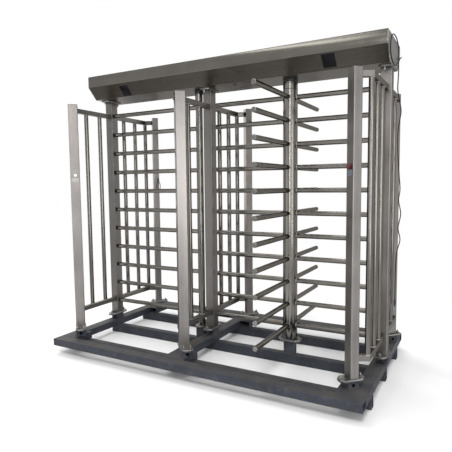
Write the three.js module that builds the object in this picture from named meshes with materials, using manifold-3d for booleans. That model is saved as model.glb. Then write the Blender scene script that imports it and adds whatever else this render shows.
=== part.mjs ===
// Full height turnstile: a four-wing rotor lane and a swing gate lane under one header.
// Millimetres. X runs along the header, Y from the front to the back, Z up from the floor.
// While the pieces are made the rotor turns about X = 0, Y = 0. The last lines move the whole
// model so that its origin is the middle of its footprint, on the floor.

import * as THREE from 'three';
import { mergeVertices } from 'three/addons/utils/BufferGeometryUtils.js';
import Module from 'manifold-3d';

const wasm = await Module();
wasm.setup();

// Lanes
const middleLineOffset = 735;
const rightLineOffset = 722;
const gateLaneWidth = 1105;
const gatePivotOffset = 105;
const middleLine = -middleLineOffset;
const rightLine = rightLineOffset;
const leftLine = middleLine - gateLaneWidth;
const gateAxis = middleLine - gatePivotOffset;

// Fits shared by many pieces
const gap = 0.3;
const weldDepth = 1;
const overrun = 5;

// Ground frame
const crossBeamWidth = 60;
const crossBeamHeight = 80;
const crossBeamOverhang = 4;
const frontCrossBeamY = -495;
const rearCrossBeamY = 480;
const groundTubeWidth = 100;
const groundTubeHeight = 60;
const groundWall = 4;
const runnerFront = -660;
const runnerRear = 657;
const rightRunnerShift = -20;
const narrowPacker = 53;
const mediumPacker = 84;
const widePacker = 98;
const frontPackerEnd = -460;
const rearPackerEnd = 447;

// Pedestals and plates under the posts
const pedestalHeight = 55;
const pedestalWall = 4;
const counterPlateThickness = 8;
const accessHoleRadius = 12;
const footPlateThickness = 10;
const plateTipWidth = 40;
const drainRadius = 20;
const runnerTop = crossBeamHeight + groundTubeHeight;
const pedestalTop = runnerTop + pedestalHeight;
const postFoot = pedestalTop + footPlateThickness;

// Posts
const headerPostSize = 80;
const endPostSize = 75;
const postWall = 3;
const headerPlateLength = 215;
const headerPlateWidth = 88;
const endPlateLength = 175;
const endPlateWidth = 90;
const forwardPlateReach = 165;
const forwardPlateBack = 45;
const forwardPedestalReach = 135;
const forwardPedestalBack = 40;
const endPostTop = 2161;
const postCapThickness = 3;

// Guard panels
const barSpacing = 168;
const barDiameter = 37;
const railSize = 40;
const railWall = 3;
const topRailHeight = 2120;
const bottomRailHeight = 338;
const railPlateThickness = 6;
const railPlateWidth = 52;
const railPlateHeight = 64;
const bendY = 3 * barSpacing;
const legReachX = 102;
const legReachY = 41;
const leftLegReachX = 108;
const rightLegReachX = 96;
const leftPostShift = 18;
const middlePostShift = 38;
const rightPostShift = -25;

// Arms of the rotor and the gate
const armCount = 11;
const firstArmHeight = 326;
const armSpacing = 180;
const topArmHeight = firstArmHeight + (armCount - 1) * armSpacing;
const armDiameter = 38;
const armTipChamfer = 2;

// Header
const headerRise = 136;
const headerUnderside = topArmHeight + headerRise;
const slopeHeight = 101;
const bandHeight = 94;
const headerHalfWidth = 244;
const headerFootHalfWidth = 151;
const headerSheet = 3;
const headerLip = 30;
const leftHeaderOverhang = 50;
const rightHeaderOverhang = 46;
const headPlateThickness = 10;
const channelHalfWidth = 140;
const channelHeight = 30;
const channelSheet = 5;
const channelEndGap = 6;
const slopeFold = headerUnderside + slopeHeight;
const headerTop = slopeFold + bandHeight;
const lidBottom = headerTop - headerSheet;
const channelBottom = headerUnderside + headerSheet;
const channelFloor = channelBottom + channelSheet;
const headerLeft = leftLine - leftHeaderOverhang;
const headerRight = rightLine + rightHeaderOverhang;

// Black windows in the sloped front face, measured along the header and up the slope
const windowWidth = 94;
const windowMargin = 8;
const windowProud = 1;
const leftWindowX = -1505;
const leftWindowLean = -62;
const rightWindowX = 328;
const rightWindowLean = -22;

// Rotor
const rotorReach = 670;
const wingCount = 4;
const columnDiameter = 114.3;
const columnWall = 5;
const columnRise = 61;
const columnTop = topArmHeight + columnRise;
const sleeveHeight = 46;
const sleeveChamfer = 1.5;
const rotorShaftRadius = 30;
const rotorRingRadius = 58;
const rotorHubWall = 8;
const rotorSpigotRadius = 25;
const rotorDiscRadius = 130;

// Gate
const gateReach = 950;
const gateTubeDiameter = 60.3;
const gateTubeWall = 8;
const gateTubeRise = 50;
const gateTubeTop = topArmHeight + gateTubeRise;
const gateCollarRadius = 33;
const gateShaftRadius = 17.5;
const gateRingRadius = 37;
const gateHubWall = 7;
const gateSpigotRadius = 14;
const gateDiscRadius = 80;

// Bearings and shafts
const bearingRingHeight = 20;
const bearingHubRise = 8;
const footFlangeThickness = 12;
const footFlangeLength = 185;
const footFlangeWidth = 112;
const gateFlangeLength = 132;
const gateFlangeWidth = 94;
const spigotHeight = 44;
const footPlugHeight = 50;
const shaftRise = 30;
const runningGap = 0.5;

// Locking mechanism in the header
const discRise = 30;
const discThickness = 10;
const discHubWall = 14;
const discHubHeight = 22;
const notchHalfWidth = 14;
const notchDepth = 14;
const pawlClearance = 3;
const pawlReach = 80;
const pawlBeamWidth = 16;
const pawlToothLength = 17;
const pawlToothTip = 14;
const pawlToothRoot = 22;
const pawlTailReach = 25;
const pawlBossRadius = 15;
const pawlPinRadius = 8;
const pawlPinShoulder = 12;
const pawlPinRise = 8;
const plungerRadius = 6;
const plungerNoseRadius = 4;
const plungerNoseLength = 8;
const plungerGap = 1;
const plungerLength = 44;
const plungerArm = 50;
const coilStandOff = 45;
const coilLength = 60;
const coilWidth = 38;
const coilHeight = 52;
const coilFootLength = 84;
const coilFootThickness = 3;
const coilBoreDepth = 48;
const discBottom = channelFloor + discRise;

// Control box in the header
const controlBoxX = 470;
const controlBoxLength = 220;
const controlBoxWidth = 150;
const controlBoxHeight = 90;
const controlBoxWall = 3;
const controlEntryRadius = 12;

// Push buttons on the front posts
const leftButtonHeight = 1551;
const rightButtonHeight = 1559;
const buttonBarrelRadius = 11;
const buttonBarrelDepth = 18;
const buttonStemRadius = 7;
const leftBezelRadius = 15;
const leftBezelDepth = 3;
const leftCapRadius = 12;
const leftCapDepth = 4;
const leftButtonTravel = 2;
const rightBezelRadius = 15;
const rightBezelDepth = 12;
const rightCapRadius = 18;
const rightCapDepth = 8;
const rightButtonTravel = 4;

// Cable at the right end
const cableDiameter = 8;
const cableSides = 8;
const cableLoopSteps = 52;
const cableDropSteps = 48;
const glandHexRadius = 13;
const glandHexDepth = 5;
const glandNoseRadius = 10;
const glandNoseDepth = 16;
const glandSocketDepth = 6;
const glandInset = 88;
const glandDrop = 47;
const glandX = headerRight - glandInset;
const glandHeight = headerTop - glandDrop;
const cablePlug = { radius: 9, length: 34, tipRadius: 7, tipLength: 20 };
const wireExitShift = 11.3;
const wireExitHeight = 1494;
const wireDiameter = 6;
const wireSides = 6;
const wireSteps = 30;

// Numbers of flat sides on round pieces
const columnSides = 24;
const discSides = 48;
const armSides = 12;
const barSides = 12;
const smallSides = 12;

// Looks
const brushedSteel = new THREE.MeshStandardMaterial({ color: 0x9c958b, roughness: 0.36, metalness: 0.95 });
const brightSteel = new THREE.MeshStandardMaterial({ color: 0xb9b8b6, roughness: 0.3, metalness: 0.95 });
const framePaint = new THREE.MeshStandardMaterial({ color: 0x41454f, roughness: 0.62, metalness: 0.1 });
const blackGloss = new THREE.MeshStandardMaterial({ color: 0x0c0c0e, roughness: 0.12, metalness: 0 });
const blackPlastic = new THREE.MeshStandardMaterial({ color: 0x1b1c1e, roughness: 0.5, metalness: 0 });
const redPlastic = new THREE.MeshStandardMaterial({ color: 0xa5161c, roughness: 0.32, metalness: 0 });
const whiteCap = new THREE.MeshStandardMaterial({ color: 0xf0f0ee, roughness: 0.25, metalness: 0.1 });
const hardSteel = new THREE.MeshStandardMaterial({ color: 0x8a8c90, roughness: 0.4, metalness: 0.9 });
const coilCopper = new THREE.MeshStandardMaterial({ color: 0x7a4a2c, roughness: 0.45, metalness: 0.6 });
const boxGrey = new THREE.MeshStandardMaterial({ color: 0xa9adb0, roughness: 0.5, metalness: 0.1 });

// Outlines in plan, as lists of points

function rectangle(width, depth) {
  const x = width / 2;
  const y = depth / 2;
  return [[-x, -y], [x, -y], [x, y], [-x, y]].map(([px, py]) => new THREE.Vector2(px, py));
}

function span(x0, x1, y0, y1) {
  return [[x0, y0], [x1, y0], [x1, y1], [x0, y1]].map(([px, py]) => new THREE.Vector2(px, py));
}

function circle(radius, sides) {
  const step = 2 * Math.PI / sides;
  return Array.from({ length: sides }, (_, i) => new THREE.Vector2(radius, 0).rotateAround(origin2, i * step));
}

const origin2 = new THREE.Vector2();

// A plate along X with its four corners cut off towards the two ends
function plateOutline(length, width, tip) {
  const end = length / 2;
  const side = width / 2;
  const shoulder = end - (side - tip / 2);
  const quarter = [[end, tip / 2], [shoulder, side]];
  const upper = [...quarter, ...quarter.toReversed().map(([x, y]) => [-x, y])];
  const lower = upper.toReversed().map(([x, y]) => [x, -y]);
  return [...upper, ...lower].map(([x, y]) => new THREE.Vector2(x, y));
}

// A plate that starts behind its post and reaches forward along X, with a narrower front end
function forwardOutline(back, reach, width, tip) {
  const side = width / 2;
  const shoulder = reach - (side - tip / 2);
  return [[-back, -side], [shoulder, -side], [reach, -tip / 2], [reach, tip / 2], [shoulder, side], [-back, side]]
    .map(([x, y]) => new THREE.Vector2(x, y));
}

function placed(outline, x, y, turn = 0) {
  return outline.map((point) => point.clone().rotateAround(origin2, turn).add(new THREE.Vector2(x, y)));
}

// The band between two offsets of a bent line, with mitred corners
function strip(points, near, far) {
  const offset = (distance) => points.map((point, i) => {
    const before = points[Math.max(i - 1, 0)];
    const after = points[Math.min(i + 1, points.length - 1)];
    const first = (i === 0 ? after : point).clone().sub(i === 0 ? point : before).normalize();
    const second = (after === point ? point : after).clone().sub(after === point ? before : point).normalize();
    const normal = new THREE.Vector2(-first.y - second.y, first.x + second.x);
    return point.clone().addScaledVector(normal, distance / (1 + first.dot(second)));
  });
  return [...offset(near), ...offset(far).toReversed()];
}

// Solids

function solidOf(geometry) {
  geometry.deleteAttribute('normal');
  geometry.deleteAttribute('uv');
  const merged = mergeVertices(geometry);
  return new wasm.Manifold(new wasm.Mesh({
    numProp: 3,
    vertProperties: new Float32Array(merged.attributes.position.array),
    triVerts: new Uint32Array(merged.index.array),
  }));
}

function joined(pieces) {
  return pieces.reduce((whole, piece) => whole.add(piece));
}

function extruded(outline, low, high, holes = []) {
  const shape = new THREE.Shape(outline);
  shape.holes = holes.map((hole) => new THREE.Path(hole));
  const geometry = new THREE.ExtrudeGeometry(shape, { depth: high - low, bevelEnabled: false });
  return geometry.translate(0, 0, low);
}

function prism(outline, low, high, holes = []) {
  return solidOf(extruded(outline, low, high, holes));
}

// A section drawn in Y and Z, run along X
function alongX(outline, start, end) {
  const basis = new THREE.Matrix4().makeBasis(axisY, axisZ, axisX);
  return solidOf(extruded(outline, start, end).applyMatrix4(basis));
}

const axisX = new THREE.Vector3(1, 0, 0);
const axisY = new THREE.Vector3(0, 1, 0);
const axisZ = new THREE.Vector3(0, 0, 1);

function box(x0, x1, y0, y1, z0, z1) {
  return prism(span(x0, x1, y0, y1), z0, z1);
}

function rod(from, to, radius, sides) {
  const run = to.clone().sub(from);
  const geometry = new THREE.CylinderGeometry(radius, radius, run.length(), sides);
  geometry.applyQuaternion(new THREE.Quaternion().setFromUnitVectors(axisY, run.clone().normalize()));
  const middle = from.clone().lerp(to, 0.5);
  return solidOf(geometry.translate(middle.x, middle.y, middle.z));
}

// A profile of radius and height pairs, turned about Z
function latheGeometry(profile, sides) {
  const points = profile.map(([radius, height]) => new THREE.Vector2(radius, height));
  return new THREE.LatheGeometry(points, sides).rotateX(Math.PI / 2);
}

function turned(profile, sides) {
  return solidOf(latheGeometry(profile, sides));
}

// The same, turned about X, for what stands out of a post's face
function turnedAlongX(profile, sides) {
  return solidOf(latheGeometry(profile, sides).rotateY(Math.PI / 2));
}

function ring(inner, outer, low, high) {
  return [[inner, low], [outer, low], [outer, high], [inner, high], [inner, low]];
}

function part(name, solid, look) {
  const { vertProperties, triVerts } = solid.getMesh();
  const geometry = new THREE.BufferGeometry();
  geometry.setAttribute('position', new THREE.BufferAttribute(vertProperties, 3));
  geometry.setIndex(new THREE.BufferAttribute(triVerts, 1));
  geometry.computeVertexNormals();
  const mesh = new THREE.Mesh(geometry, look);
  mesh.name = name;
  return mesh;
}

// Ground frame

const frameLeft = leftLine - groundTubeWidth / 2;
const rightRunnerLine = rightLine + rightRunnerShift;
const frameRight = rightRunnerLine + groundTubeWidth / 2;

function tubeAlongX(x0, x1, y, width, bottom, height) {
  const outer = box(x0, x1, y - width / 2, y + width / 2, bottom, bottom + height);
  const half = width / 2 - groundWall;
  const low = bottom + groundWall;
  const high = bottom + height - groundWall;
  return outer.subtract(box(x0 - overrun, x1 + overrun, y - half, y + half, low, high));
}

function tubeAlongY(x0, x1, y0, y1) {
  const outer = box(x0, x1, y0, y1, crossBeamHeight, runnerTop);
  const low = crossBeamHeight + groundWall;
  const high = runnerTop - groundWall;
  return outer.subtract(box(x0 + groundWall, x1 - groundWall, y0 - overrun, y1 + overrun, low, high));
}

// A short square tube with the plate that a foot plate is bolted to. Unless it is plain, it has a
// hole to reach the bolt.
function pedestal(bottom, tube, plate, x, y, turn) {
  const inset = new THREE.Vector2(tube.x1 - tube.x0, tube.width).subScalar(2 * pedestalWall);
  const middle = (tube.x0 + tube.x1) / 2;
  const wallOutline = placed(rectangle(tube.x1 - tube.x0, tube.width), middle, 0);
  const boreOutline = placed(rectangle(inset.x, inset.y), middle, 0);
  const underPlate = pedestalTop - counterPlateThickness;
  const shell = prism(placed(wallOutline, x, y, turn), bottom - weldDepth, underPlate + weldDepth);
  const top = prism(placed(plate, x, y, turn), underPlate, pedestalTop);
  const bore = prism(placed(boreOutline, x, y, turn), bottom, underPlate);
  const drain = prism(placed(circle(drainRadius, smallSides), x, y), underPlate - weldDepth, pedestalTop + overrun);
  const hollow = shell.add(top).subtract(bore).subtract(drain);
  if (tube.plain) return hollow;
  const reach = new THREE.Vector2(tube.x1 + overrun, 0).rotateAround(origin2, turn + tube.holeTurn);
  const holeHeight = (bottom + underPlate) / 2;
  const inside = new THREE.Vector3(x, y, holeHeight);
  const outside = new THREE.Vector3(x + reach.x, y + reach.y, holeHeight);
  return hollow.subtract(rod(inside, outside, accessHoleRadius, smallSides));
}

const quarterTurn = Math.PI / 2;
const eighthTurn = Math.PI / 4;

function squareTube(size, holeTurn) {
  return { x0: -size / 2, x1: size / 2, width: size, holeTurn };
}

const headerFootOutline = placed(plateOutline(headerPlateLength, headerPlateWidth, plateTipWidth), 0, 0, quarterTurn);
const endFootOutline = plateOutline(endPlateLength, endPlateWidth, plateTipWidth);
const forwardFootOutline = forwardOutline(forwardPlateBack, forwardPlateReach, endPlateWidth, plateTipWidth);
const forwardTube = { x0: -forwardPedestalBack, x1: forwardPedestalReach, width: headerPostSize, holeTurn: 0 };
const rotorFlangeOutline = plateOutline(footFlangeLength, footFlangeWidth, plateTipWidth);
const gateFlangeOutline = placed(plateOutline(gateFlangeLength, gateFlangeWidth, plateTipWidth), 0, 0, quarterTurn);

function headerPedestal(line) {
  return pedestal(runnerTop, squareTube(headerPostSize, -quarterTurn), headerFootOutline, line, 0, 0);
}

function endPedestal(post) {
  const tube = post.forward ? forwardTube : squareTube(endPostSize, -quarterTurn);
  const plate = post.forward ? forwardFootOutline : endFootOutline;
  return pedestal(runnerTop, tube, plate, post.x, post.y, post.plateTurn);
}

// Places of the six end posts, and which way their foot plates lie
const endPosts = {
  leftFront: { x: leftLine + leftPostShift, y: -bendY, plateTurn: -eighthTurn, forward: true },
  middleFront: { x: middleLine + middlePostShift, y: -bendY, plateTurn: -eighthTurn, forward: true },
  rightFront: { x: rightLine - rightLegReachX, y: -bendY - legReachY, plateTurn: eighthTurn, forward: false },
  leftRear: { x: leftLine + leftLegReachX, y: bendY + legReachY, plateTurn: eighthTurn, forward: false },
  middleRear: { x: middleLine + legReachX, y: bendY + legReachY, plateTurn: eighthTurn, forward: false },
  rightRear: { x: rightLine + rightPostShift, y: bendY, plateTurn: eighthTurn, forward: false },
};

// A runner with the short packers that widen it under the posts beside its line.
// A packer of negative width lies on the left. The runner's middle may stand beside the posts' line.
function runner(line, middle, frontPacker, rearPacker, frontPost, rearPost) {
  const half = groundTubeWidth / 2;
  const pieces = [tubeAlongY(middle - half, middle + half, runnerFront, runnerRear)];
  const packer = (width, y0, y1) => {
    const side = middle + Math.sign(width) * (half - weldDepth);
    const ends = [side, side + width].sort((a, b) => a - b);
    return tubeAlongY(ends[0], ends[1], y0, y1);
  };
  if (frontPacker) pieces.push(packer(frontPacker, runnerFront, frontPackerEnd));
  if (rearPacker) pieces.push(packer(rearPacker, rearPackerEnd, runnerRear));
  pieces.push(headerPedestal(line), endPedestal(frontPost), endPedestal(rearPost));
  return joined(pieces);
}

function groundFrame() {
  const frame = new THREE.Group();
  const frontBeamY = runnerFront - groundTubeWidth / 2;
  const rearBeamY = runnerRear + groundTubeWidth / 2;
  const groundBeam = (y) => tubeAlongX(
    frameLeft, frameRight, y, groundTubeWidth, crossBeamHeight, groundTubeHeight);
  const beamEnd = frameRight + crossBeamOverhang;
  const crossBeam = (y) => tubeAlongX(frameLeft, beamEnd, y, crossBeamWidth, 0, crossBeamHeight);
  const plainTube = { ...squareTube(headerPostSize, 0), plain: true };
  const rotorPedestal = pedestal(crossBeamHeight, plainTube, rotorFlangeOutline, 0, 0, 0);
  const gatePedestal = pedestal(crossBeamHeight, plainTube, gateFlangeOutline, gateAxis, 0, 0);
  frame.add(
    part('front_ground_beam', groundBeam(frontBeamY), framePaint),
    part('rear_ground_beam', groundBeam(rearBeamY), framePaint),
    part('left_runner', runner(
      leftLine, leftLine, narrowPacker, mediumPacker, endPosts.leftFront, endPosts.leftRear), framePaint),
    part('middle_runner', runner(
      middleLine, middleLine, mediumPacker, widePacker, endPosts.middleFront, endPosts.middleRear), framePaint),
    part('right_runner', runner(
      rightLine, rightRunnerLine, -widePacker, 0, endPosts.rightFront, endPosts.rightRear), framePaint),
    part('front_cross_beam', crossBeam(frontCrossBeamY), framePaint),
    part('middle_cross_beam', joined([crossBeam(0), rotorPedestal, gatePedestal]), framePaint),
    part('rear_cross_beam', crossBeam(rearCrossBeamY), framePaint),
  );
  return frame;
}

// Posts

function postTube(size, x, y, turn, low, high) {
  const bore = size - 2 * postWall;
  return prism(placed(rectangle(size, size), x, y, turn), low, high, [placed(rectangle(bore, bore), x, y, turn)]);
}

function headerPost(line) {
  const plate = placed(headerFootOutline, line, 0);
  const drain = placed(circle(drainRadius, smallSides), line, 0);
  const headPlate = headerUnderside - headPlateThickness;
  return joined([
    prism(plate, pedestalTop, postFoot, [drain]),
    postTube(headerPostSize, line, 0, 0, postFoot - weldDepth, headPlate + weldDepth),
    prism(plate, headPlate, headerUnderside, [drain]),
  ]);
}

function endPost(post, buttonHeight, buttonTurn) {
  const outline = post.forward ? forwardFootOutline : endFootOutline;
  const drain = placed(circle(drainRadius, smallSides), post.x, post.y);
  const shell = joined([
    prism(placed(outline, post.x, post.y, post.plateTurn), pedestalTop, postFoot, [drain]),
    postTube(endPostSize, post.x, post.y, eighthTurn, postFoot - weldDepth, endPostTop),
    prism(placed(rectangle(endPostSize, endPostSize), post.x, post.y, eighthTurn),
      endPostTop - postCapThickness, endPostTop),
  ]);
  if (!buttonHeight) return shell;
  const outward = new THREE.Vector2(endPostSize, 0).rotateAround(origin2, buttonTurn);
  const inside = new THREE.Vector3(post.x, post.y, buttonHeight);
  const outside = new THREE.Vector3(post.x + outward.x, post.y + outward.y, buttonHeight);
  return shell.subtract(rod(inside, outside, buttonBarrelRadius + gap, smallSides));
}

const leftButtonTurn = -eighthTurn;
const rightButtonTurn = -3 * eighthTurn;

function posts() {
  const group = new THREE.Group();
  group.add(
    part('left_header_post', headerPost(leftLine), brushedSteel),
    part('middle_header_post', headerPost(middleLine), brushedSteel),
    part('right_header_post', headerPost(rightLine), brushedSteel),
    part('left_front_post', endPost(endPosts.leftFront, leftButtonHeight, leftButtonTurn), brushedSteel),
    part('middle_front_post', endPost(endPosts.middleFront), brushedSteel),
    part('right_front_post', endPost(endPosts.rightFront, rightButtonHeight, rightButtonTurn), brushedSteel),
    part('left_rear_post', endPost(endPosts.leftRear), brushedSteel),
    part('middle_rear_post', endPost(endPosts.middleRear), brushedSteel),
    part('right_rear_post', endPost(endPosts.rightRear), brushedSteel),
  );
  return group;
}

// Guard panels: two hollow rails with upright bars, from a header post to an end post

function rail(path, height) {
  const half = railSize / 2;
  const bore = half - railWall;
  const last = path.at(-1);
  const onward = last.clone().sub(path.at(-2)).setLength(overrun);
  const borePath = [...path.slice(0, -1), last.clone().add(onward)];
  const outer = prism(strip(path, -half, half), height - half, height + half);
  return outer.subtract(prism(strip(borePath, -bore, bore), height - bore, height + bore));
}

function guardPanel(line, side, barNumbers, bend, post) {
  const postFace = side * headerPostSize / 2;
  const railStart = postFace + side * railPlateThickness;
  const end = new THREE.Vector2(post.x, post.y);
  const corner = new THREE.Vector2(line, side * bendY);
  const start = new THREE.Vector2(line, railStart);
  const path = bend ? [start, corner, end] : [start, new THREE.Vector2(line, post.y)];
  const half = railSize / 2;
  const pieces = [];
  for (const height of [topRailHeight, bottomRailHeight]) {
    const plateEnds = [postFace, railStart].sort((a, b) => a - b);
    pieces.push(rail(path, height));
    pieces.push(box(
      line - railPlateWidth / 2, line + railPlateWidth / 2, plateEnds[0], plateEnds[1],
      height - railPlateHeight / 2, height + railPlateHeight / 2));
  }
  const low = bottomRailHeight + half - weldDepth;
  const high = topRailHeight - half + weldDepth;
  for (const number of barNumbers) {
    const y = side * number * barSpacing;
    const bottom = new THREE.Vector3(line, y, low);
    const top = new THREE.Vector3(line, y, high);
    pieces.push(rod(bottom, top, barDiameter / 2, barSides));
  }
  const keepOut = endPostSize + 2 * gap;
  const postSpace = prism(placed(rectangle(keepOut, keepOut), post.x, post.y, eighthTurn), 0, headerTop);
  return joined(pieces).subtract(postSpace);
}

function guardPanels() {
  const group = new THREE.Group();
  const panels = [
    ['left_front_guard', leftLine, -1, [1, 2], false, endPosts.leftFront],
    ['left_rear_guard', leftLine, 1, [1, 2, 3], true, endPosts.leftRear],
    ['middle_front_guard', middleLine, -1, [1, 2], false, endPosts.middleFront],
    ['middle_rear_guard', middleLine, 1, [1, 2, 3], true, endPosts.middleRear],
    ['right_front_guard', rightLine, -1, [1, 2, 3], true, endPosts.rightFront],
    ['right_rear_guard', rightLine, 1, [1, 2], false, endPosts.rightRear],
  ];
  for (const [name, line, side, bars, bend, post] of panels) {
    group.add(part(name, guardPanel(line, side, bars, bend, post), brushedSteel));
  }
  return group;
}

// Header

const slope = new THREE.Vector3(0, headerFootHalfWidth - headerHalfWidth, slopeHeight);
const slopeLength = slope.length();

// A point of the header's outer section
function sectionPoint(y, z) {
  return new THREE.Vector2(y, z);
}

function casingSection() {
  const line = [
    sectionPoint(headerLip - headerHalfWidth, lidBottom),
    sectionPoint(-headerHalfWidth, lidBottom),
    sectionPoint(-headerHalfWidth, slopeFold),
    sectionPoint(-headerFootHalfWidth, headerUnderside),
    sectionPoint(headerFootHalfWidth, headerUnderside),
    sectionPoint(headerHalfWidth, slopeFold),
    sectionPoint(headerHalfWidth, lidBottom),
    sectionPoint(headerHalfWidth - headerLip, lidBottom),
  ];
  return strip(line, 0, headerSheet);
}

function capSection() {
  return [
    sectionPoint(-headerFootHalfWidth, headerUnderside),
    sectionPoint(headerFootHalfWidth, headerUnderside),
    sectionPoint(headerHalfWidth, slopeFold),
    sectionPoint(headerHalfWidth, lidBottom),
    sectionPoint(-headerHalfWidth, lidBottom),
    sectionPoint(-headerHalfWidth, slopeFold),
  ];
}

// A leaning window in the plane of the sloped face, from its lower left corner
function windowSolid(x, lean, clearance, low, high) {
  const bottom = windowMargin - clearance;
  const top = slopeLength - windowMargin + clearance;
  const shear = lean / (slopeLength - 2 * windowMargin);
  const left = (height) => (height - windowMargin) * shear - clearance;
  const right = (height) => left(height) + windowWidth + 2 * clearance;
  const outline = [[left(bottom), bottom], [right(bottom), bottom], [right(top), top], [left(top), top]]
    .map(([px, py]) => new THREE.Vector2(px, py));
  const up = slope.clone().normalize();
  const basis = new THREE.Matrix4().makeBasis(axisX, up, axisX.clone().cross(up));
  basis.setPosition(x, -headerFootHalfWidth, headerUnderside);
  return solidOf(extruded(outline, low, high).applyMatrix4(basis));
}

function hubHole(x, radius) {
  return prism(placed(circle(radius + gap, columnSides), x, 0), headerUnderside - overrun, channelFloor + overrun);
}

const rotorHubRadius = rotorShaftRadius + gap + rotorHubWall;
const gateHubRadius = gateShaftRadius + gap + gateHubWall;

function headerShell() {
  const group = new THREE.Group();
  const glandHole = rod(
    new THREE.Vector3(glandX, headerHalfWidth - overrun, glandHeight),
    new THREE.Vector3(glandX, headerHalfWidth + overrun, glandHeight), glandNoseRadius + gap, smallSides);
  const windowCut = (x, lean) => windowSolid(x, lean, gap, -headerSheet - overrun, overrun);
  const casing = alongX(casingSection(), headerLeft + headerSheet, headerRight - headerSheet)
    .subtract(windowCut(leftWindowX, leftWindowLean))
    .subtract(windowCut(rightWindowX, rightWindowLean))
    .subtract(hubHole(0, rotorHubRadius))
    .subtract(hubHole(gateAxis, gateHubRadius))
    .subtract(glandHole);
  group.add(
    part('header_casing', casing, brushedSteel),
    part('header_lid', box(
      headerLeft, headerRight, -headerHalfWidth, headerHalfWidth, lidBottom, headerTop), brushedSteel),
    part('header_left_end', alongX(capSection(), headerLeft, headerLeft + headerSheet), brushedSteel),
    part('header_right_end', alongX(capSection(), headerRight - headerSheet, headerRight), brushedSteel),
    part('left_window', windowSolid(leftWindowX, leftWindowLean, 0, -headerSheet, windowProud), blackGloss),
    part('right_window', windowSolid(rightWindowX, rightWindowLean, 0, -headerSheet, windowProud), blackGloss),
    part('header_channel', headerChannel(), hardSteel),
  );
  return group;
}

// The stiff channel inside the header, with a stud for each pawl
function headerChannel() {
  const line = [
    sectionPoint(-channelHalfWidth, channelBottom + channelHeight),
    sectionPoint(-channelHalfWidth, channelBottom),
    sectionPoint(channelHalfWidth, channelBottom),
    sectionPoint(channelHalfWidth, channelBottom + channelHeight),
  ];
  const inset = headerSheet + channelEndGap;
  const shell = alongX(strip(line, 0, channelSheet), headerLeft + inset, headerRight - inset);
  const studs = locks.map((lock) => pawlStud(lock));
  return joined([shell, ...studs])
    .subtract(hubHole(0, rotorHubRadius))
    .subtract(hubHole(gateAxis, gateHubRadius));
}

// Locks: each has a pawl that turns into a notch of the disc, and a coil whose plunger pushes it

const locks = [
  { name: 'entry', axis: 0, radius: rotorDiscRadius, turn: 0 },
  { name: 'exit', axis: 0, radius: rotorDiscRadius, turn: Math.PI },
  { name: 'gate', axis: gateAxis, radius: gateDiscRadius, turn: Math.PI },
];

// The pawl's beam stands this far outside the disc's rim
const pawlOffset = pawlClearance + pawlToothLength + pawlBeamWidth / 2;

function pawlPivot(lock) {
  return new THREE.Vector2(lock.radius + pawlOffset, -pawlReach);
}

function pawlStud(lock) {
  const place = pawlPivot(lock).rotateAround(origin2, lock.turn);
  const x = lock.axis + place.x;
  const shoulder = discBottom - gap;
  const top = discBottom + discThickness + pawlPinRise;
  return joined([
    rod(new THREE.Vector3(x, place.y, channelFloor - weldDepth),
      new THREE.Vector3(x, place.y, shoulder), pawlPinShoulder, smallSides),
    rod(new THREE.Vector3(x, place.y, shoulder - weldDepth),
      new THREE.Vector3(x, place.y, top), pawlPinRadius, smallSides),
  ]);
}

function pawl(lock) {
  const pivot = pawlPivot(lock);
  const side = pawlBeamWidth / 2;
  const tip = -side - pawlToothLength;
  const outline = [
    [-side, -pawlTailReach], [side, -pawlTailReach],
    [side, pawlReach + pawlToothRoot / 2], [-side, pawlReach + pawlToothRoot / 2],
    [tip, pawlReach + pawlToothTip / 2], [tip, pawlReach - pawlToothTip / 2],
    [-side, pawlReach - pawlToothRoot / 2],
  ].map(([x, y]) => new THREE.Vector2(x, y));
  const top = discBottom + discThickness;
  return prism(placed(outline, pivot.x, pivot.y), discBottom, top)
    .add(prism(placed(circle(pawlBossRadius, smallSides), pivot.x, pivot.y), discBottom, top))
    .subtract(prism(placed(circle(pawlPinRadius + gap, smallSides), pivot.x, pivot.y),
      discBottom - overrun, top + overrun));
}

function lockPlunger(lock) {
  const pivot = pawlPivot(lock);
  const y = pivot.y + plungerArm;
  const height = discBottom + discThickness / 2;
  const nose = pivot.x + pawlBeamWidth / 2 + plungerGap;
  const shoulder = nose + plungerNoseLength;
  return joined([
    rod(new THREE.Vector3(nose, y, height),
      new THREE.Vector3(shoulder + weldDepth, y, height), plungerNoseRadius, smallSides),
    rod(new THREE.Vector3(shoulder, y, height),
      new THREE.Vector3(shoulder + plungerLength, y, height), plungerRadius, smallSides),
  ]);
}

function lockCoil(lock) {
  const pivot = pawlPivot(lock);
  const y = pivot.y + plungerArm;
  const height = discBottom + discThickness / 2;
  const near = lock.radius + coilStandOff;
  const far = near + coilLength;
  const middle = (near + far) / 2;
  const half = coilWidth / 2;
  const foot = box(middle - coilFootLength / 2, middle + coilFootLength / 2, y - half, y + half,
    channelFloor, channelFloor + coilFootThickness);
  const body = box(near, far, y - half, y + half, channelFloor, channelFloor + coilHeight);
  const bore = rod(new THREE.Vector3(near - overrun, y, height),
    new THREE.Vector3(near + coilBoreDepth, y, height), plungerRadius + gap, smallSides);
  return foot.add(body).subtract(bore);
}

function lockGroup(lock) {
  const group = new THREE.Group();
  group.position.x = lock.axis;
  group.rotation.z = lock.turn;
  group.add(
    part(`${lock.name}_pawl`, pawl(lock), hardSteel),
    part(`${lock.name}_plunger`, lockPlunger(lock), hardSteel),
    part(`${lock.name}_coil`, lockCoil(lock), coilCopper),
  );
  return group;
}

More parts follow.
